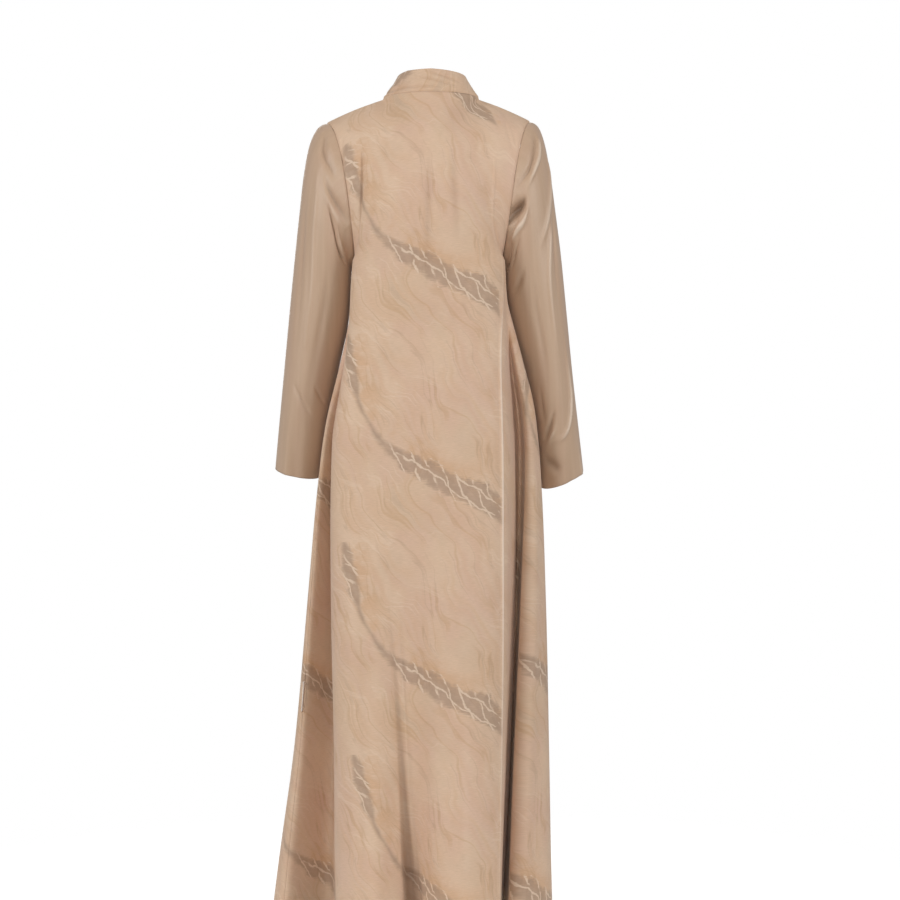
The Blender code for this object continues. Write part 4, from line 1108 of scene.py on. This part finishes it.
def marbledJacquard():
    # Dark bands with cream veins, once in each repeat both ways, on a ground of clouds and thin flowing
    # lines. The ground's noises are taken on a doughnut in four dimensions, one repeat round it each way, so
    # each repeat meets the next without a join.
    look = jacquard
    material, n, shader = newMaterial("marbled_jacquard", look)
    u, v = n.clothPlace()
    sizes, fullTurn = (look["across"], look["down"]), 2 * np.pi
    turnsAcross, turnsDown = (n.over(place, size) for place, size in zip((u, v), sizes))
    wholeReach = [size / fullTurn for size in sizes]

    def clouded(scale, detail, roughness, shift, turns=turnsAcross, reach=wholeReach):
        first, second = n.times(turns, fullTurn), n.times(turnsDown, fullTurn)
        place = n.vector(
            n.scaled(n.maths("COSINE", first), reach[0], shift),
            n.times(n.maths("SINE", first), reach[0]),
            n.times(n.maths("COSINE", second), reach[1]),
        )
        return n.noise(place, scale, detail, roughness, n.times(n.maths("SINE", second), reach[1]))

    sway, swayUp = n.centred(clouded(*look["sway"])), n.centred(clouded(*look["swayUp"]))

    # the place in its own repeat, along and square to the line that the dark band follows
    across, up = (
        n.minus(n.maths("WRAP", n.scaled(bend, look["swayReach"], place), corner + size, corner), middle)
        for bend, place, size, corner, middle in zip(
            (sway, swayUp), (u, v), sizes, look["corner"], look["middle"]
        )
    )
    cosine, sine = np.cos(np.radians(look["slant"])), np.sin(np.radians(look["slant"]))
    along = n.minus(n.times(across, cosine), n.times(up, sine))
    square = n.plus(n.times(across, sine), n.times(up, cosine))

    def banded(layer, scale, detail, roughness=0.5):
        return n.noise(n.vector(along, square, layer), scale, detail, roughness)

    # the dark band, its edges ragged by the weft
    hatch = n.centred(n.threads(u, v, *look["hatch"]))
    wobble, ragged = n.centred(banded(*look["wobble"])), banded(*look["ragged"])
    half = n.graph(along, darkBand, 2)
    above = n.scaled(wobble, look["wobbleReach"], n.minus(square, n.graph(along, darkBand, 1)))
    away = n.size(above)
    edge = n.times(half, n.scaled(ragged, *look["raggedWidth"]))
    edge = n.scaled(n.times(hatch, half), look["hatchWidth"], edge)
    inBand = n.step(half, *look["bandEnds"])
    bandShare = n.times(n.step(n.minus(edge, away), *look["bandFade"]), inBand)
    bandShare = n.times(bandShare, n.scaled(ragged, *look["raggedShare"]), clamp=True)

    # cream veins that cross the band more steeply than it falls, part and meet
    wave, ripple = n.centred(banded(*look["wave"])), n.centred(banded(*look["ripple"]))
    waveReach, rippleReach = look["veinSway"]

    def crossingVeins(lean, spacing, shift, low, high):
        at = n.scaled(ripple, rippleReach, n.scaled(wave, waveReach, n.scaled(along, lean, square)))
        at = n.centred(n.maths("FRACT", n.scaled(at, 1 / spacing, shift)))
        line = n.step(n.size(at), *(width / spacing for width in look["veinEdge"]))
        return n.times(line, n.step(banded(3 + shift, *look["veinPatches"]), low, high))

    creamVeins = n.maths("MAXIMUM", *(crossingVeins(*row) for row in look["veins"]))
    past, low, high = look["veinOutside"]
    nearBand = n.step(n.minus(n.plus(edge, past), away), low, high)
    creamVeins = n.times(n.times(creamVeins, nearBand), n.step(half, *look["veinHalf"]))

    # lines that fall steeply to the right, and others that lie flatter
    turnsFlowing = {
        "steep": n.scaled(sway, look["steepSway"], n.scaled(turnsAcross, 2, turnsDown)),
        "flat": n.scaled(swayUp, look["flatSway"], n.scaled(turnsDown, 2, turnsAcross)),
    }

    def flowing(scale, shift, width, low, high, detail, way, amount, tint):
        value = clouded(scale, detail, look["lineRoughness"], shift, turnsFlowing[way], look[way + "Reach"])
        line = n.step(n.size(n.centred(value)), width, 0)
        *patches, more = look["linePatches"]
        return n.times(line, n.step(clouded(*patches, shift + more), low, high)), amount, tint

    def cloud(scale, detail, roughness, shift, low, high, amount, tint):
        return n.step(clouded(scale, detail, roughness, shift), low, high), amount, tint

    # lines along the band's upper side
    swaying, waving = look["followSway"]
    follow = n.scaled(sway, swaying, n.scaled(wave, waving, above))
    follow = n.centred(n.maths("FRACT", n.over(follow, look["followSpacing"])))
    beside = n.times(n.times(*(n.step(above, *limits) for limits in look["followAbove"])), inBand)
    patches, *followLook = cloud(*look["followPatches"])
    followLines = n.times(n.times(n.step(n.size(follow), look["followWidth"], 0), beside), patches)
    smudges, *smudgeLook = cloud(*look["smudges"])
    smudges = n.times(smudges, n.scaled(beside, *look["smudgesBeside"]))

    (pale, amount, tint), *clouds = (cloud(*row) for row in look["clouds"])
    colour = n.mixed(n.times(pale, amount), look["ground"], look[tint])
    for share, amount, tint in (
        *clouds,
        *(flowing(*row) for row in look["streaks"]),
        (smudges, *smudgeLook),
        *(flowing(*row) for row in look["lines"]),
        (followLines, *followLook),
        (bandShare, *look["dark band"]),
        (creamVeins, *look["cream veins"]),
    ):
        colour = n.mixed(n.times(share, amount, clamp=True), colour, look[tint])

    # the weave: short weft streaks with a fine grain
    weft, grain, relief = n.threads(u, v, *look["weft"]), n.threads(u, v, *look["grain"]), look["relief"]
    texture = n.scaled(n.centred(grain), look["grainShade"], n.scaled(n.centred(weft), look["weftShade"], 1))
    height = n.plus(n.times(weft, relief["weft"]), n.times(grain, relief["grain"]))
    height = n.scaled(creamVeins, relief["veins"], n.scaled(bandShare, relief["band"], height))
    # the colour takes painted highlights on ridges and painted shade in troughs and seam grooves
    n.surface(shader, n.creaseHighlightAndShade(n.grained(colour, texture), look), height, *look["bump"])
    return material


satin = {
    "roughness": 0.46,
    "sheen": 0.30,
    "sheenTint": (0.95, 0.82, 0.72),
    "bump": (0.25, 0.0005),
    "ground": (0.500, 0.342, 0.228),
    "light": (0.575, 0.405, 0.285),
    "rose": (0.490, 0.312, 0.214),
    # the painted highlight that ridges turn to and the painted shade that troughs turn to, and how far
    "lit": (0.80, 0.67, 0.54),
    "lift": 0.50,
    "shade": (0.160, 0.090, 0.052),
    "sink": 0.30,
    "deep": 0.26,
    # Noises by the threads: marks a metre across and down, detail, roughness and layer
    "long": (60, 5, 3, 0.6),
    "soft": (14, 4, 2, 0.5, 3),
    "twill": (1700, 500, 1),
    "longShows": ((0.35, 0.70), 0.35),  # where they set in and are full, and how strongly they show
    "softShows": ((0.45, 0.65), 0.40),
    "twillShade": 0.14,
    "gloss": (0.14, 0.36),  # how much the long streaks dull it, and its least roughness
    "specular": 0.5,
    "anisotropic": 0.35,
    "longRelief": 0.8,
}


def plainSatinCrepe():
    # A plain colour with faint streaks down the grain, a fine twill and a soft sheen
    material, n, shader = newMaterial("plain_satin_crepe", satin)
    u, v = n.clothPlace()
    long, soft = n.threads(u, v, *satin["long"]), n.threads(u, v, *satin["soft"])
    twill = n.threads(n.plus(u, v), v, *satin["twill"])
    colour = satin["ground"]
    for streaks, shows, tint in ((long, "longShows", "light"), (soft, "softShows", "rose")):
        limits, amount = satin[shows]
        colour = n.mixed(n.times(n.step(streaks, *limits), amount), colour, satin[tint])
    texture = n.scaled(n.centred(twill), satin["twillShade"], 1)
    n.fill(shader, {
        "Specular IOR Level": satin["specular"],
        "Anisotropic": satin["anisotropic"],
        "Roughness": n.scaled(long, *satin["gloss"]),
    })
    height = n.scaled(long, satin["longRelief"], twill)
    # the colour takes painted highlights on ridges and painted shade in troughs and seam grooves
    n.surface(shader, n.creaseHighlightAndShade(n.grained(colour, texture), satin), height, *satin["bump"])
    return material


ribbonLook = {
    "roughness": 0.50,
    "sheen": 0.15,
    "sheenTint": (1, 0.97, 0.93),
    "bump": (0.3, 0.0003),
    "ground": (0.93, 0.89, 0.85),
    "woven": (0.42, 0.34, 0.29),
    "wovenShare": 0.6,
    "field": (0.020, 0.019),  # half the height of its darker field, from outside to inside
    "fieldMargin": (0.0050, 0.0057),  # how far that field stays from the fold
    "ribs": 9000,  # radians a metre
    "ribShade": 0.04,
}


def whiteRibbon():
    # Off white with fine ribs across and a darker woven field in the middle of each side
    material, n, shader = newMaterial("white_ribbon", ribbonLook)
    u, v = n.clothPlace()
    folded = n.size(n.minus(u, label["depth"]))
    middle = n.size(n.plus(v, label["length"] / 2 - label["top"]))
    field = n.times(n.step(middle, *ribbonLook["field"]), n.step(folded, *ribbonLook["fieldMargin"]))
    ribs = n.maths("SINE", n.times(v, ribbonLook["ribs"]))
    colour = n.mixed(n.times(field, ribbonLook["wovenShare"]), ribbonLook["ground"], ribbonLook["woven"])
    n.surface(shader, n.grained(colour, n.scaled(ribs, ribbonLook["ribShade"], 1)), ribs, *ribbonLook["bump"])
    return material


materials = {
    "marbled_jacquard": marbledJacquard(),
    "plain_satin_crepe": plainSatinCrepe(),
    "white_ribbon": whiteRibbon(),
}
slotOf = {name: "plain_satin_crepe" if name in tubes else "marbled_jacquard" for name in pieces}
slotOf["side_label"] = "white_ribbon"
for name, piece in pieces.items():
    piece.data.materials.append(materials[slotOf[name]])
print("cloths made")


studio = {
    "camera": (-0.0352, 4.12, -0.6504),
    "seen": 1.62,  # metres of height in view, from this far away
    "away": 4.0,
    "sensor": 36,
    "sky": 0.32,
    "aim": (0, 0, -0.4),  # where the lamps point
    "lamps": (
        ("left", (3.3, 2.3, 0.8), 1.7, 72),  # place, size, power
        ("right", (-3.3, 2.3, 0.8), 1.7, 66),
        ("middle", (0.2, 4.6, 0.9), 1.4, 56),
        ("front", (0.3, -3.4, 0.6), 2.0, 40),
    ),
    "floorDrop": 0.05,
    "floorRadius": 1.3,
    "floorRings": 12,
    "floorSpokes": 96,
    "floorFade": (0.98, 0.45),  # it sets in at this share of its radius, and is full this many metres out
    "floorGlow": 0.46,
}
floorLook = {"roughness": 0.9, "sheen": 0.0, "sheenTint": (1, 1, 1), "ground": (0.93, 0.925, 0.92)}


def staged(name, data):
    made = bpy.data.objects.new(name, data)
    bpy.context.scene.collection.objects.link(made)
    return made


camera = staged("camera", bpy.data.cameras.new("camera"))
camera.location = studio["camera"]
camera.rotation_euler = (np.pi / 2, 0, np.pi)
camera.data.sensor_width = studio["sensor"]
camera.data.lens = studio["sensor"] * studio["away"] / studio["seen"]
bpy.context.scene.camera = camera

# the camera sees a white backdrop, and a dimmer one lights the cloak
world = bpy.data.worlds.new("studio")
world.use_nodes = True
sky = Nodes(world.node_tree)
light = sky.fill(world.node_tree.nodes["Background"], {"Color": (1, 1, 1), "Strength": studio["sky"]})
backdrop = sky.add("Background", {"Color": (1, 1, 1), "Strength": 1.0})
seen = sky.add("LightPath").outputs["Is Camera Ray"]
both = sky.add("MixShader", {0: seen, 1: light.outputs[0], 2: backdrop.outputs[0]})
sky.fill(world.node_tree.nodes["World Output"], {"Surface": both.outputs[0]})
bpy.context.scene.world = world
bpy.context.scene.view_settings.view_transform = "Standard"

for lampName, place, size, power in studio["lamps"]:
    lamp = staged(lampName, bpy.data.lights.new(lampName, "AREA"))
    lamp.data.size = size
    lamp.data.energy = power
    lamp.location = place
    lamp.rotation_euler = (Vector(studio["aim"]) - Vector(place)).to_track_quat("-Z", "Y").to_euler()

# a pale disc that fades into the backdrop at its edge
ringCount, spokes = studio["floorRings"], studio["floorSpokes"]
around = np.arange(spokes) * 2 * np.pi / spokes
rings = np.linspace(0.05, 1, ringCount)[:, None] * studio["floorRadius"]
floorZ = np.full((ringCount, spokes), body["hemZ"] - studio["floorDrop"])
floorPoints = np.stack([rings * np.cos(around), rings * np.sin(around), floorZ], axis=-1).reshape(-1, 3)
ringNumbers = np.arange(ringCount * spokes).reshape(ringCount, spokes)
ringNumbers = np.hstack([ringNumbers, ringNumbers[:, :1]])
inner, outer = ringNumbers[:-1], ringNumbers[1:]
floorFaces = quads(inner[:, :-1], outer[:, :-1], outer[:, 1:], inner[:, 1:]).tolist()
floorFaces.append(list(range(spokes)))
floorMesh = bpy.data.meshes.new("floor")
floorMesh.from_pydata(floorPoints.tolist(), [], floorFaces)
floor = staged("floor", floorMesh)
floorMaterial, n, floorShader = newMaterial("pale_floor", floorLook)
flatPlace = n.add("VectorMath", {0: n.add("TexCoord").outputs["Object"], 1: (1, 1, 0)}, operation="MULTIPLY")
far = n.add("VectorMath", {0: flatPlace.outputs[0]}, operation="LENGTH").outputs["Value"]
fadeFrom, fadeTo = studio["floorFade"]
n.fill(floorShader, {
    "Base Color": floorLook["ground"],
    "Emission Color": (1, 1, 1),
    "Emission Strength": n.times(n.add("LightPath").outputs["Is Camera Ray"], studio["floorGlow"]),
    "Alpha": n.step(far, studio["floorRadius"] * fadeFrom, fadeTo),
})
floorMesh.materials.append(floorMaterial)

# The cut of each piece: width and length, its area where it isn't a rectangle, and how it is held
cuts = {
    "back": ((1.070, 1.530), 1.025, "hung"),
    "front_left": ((0.555, 1.505), 0.457, "hung"),
    "front_right": ((0.485, 1.510), 0.402, "hung"),
    "sleeve_left": ((0.540, 0.640), 0.212, "hung"),
    "sleeve_right": ((0.540, 0.640), 0.209, "hung"),
    "collar": ((0.045, 0.225), None, "draped"),
    "band_left": ((0.045, 1.525), None, "hung"),
    "band_right": ((0.045, 1.525), None, "hung"),
    "side_label": ((0.022, 0.055), None, "folded"),
}
for name, piece in pieces.items():
    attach(piece, "root")
    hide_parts(name)
    size, area, held = cuts[name]
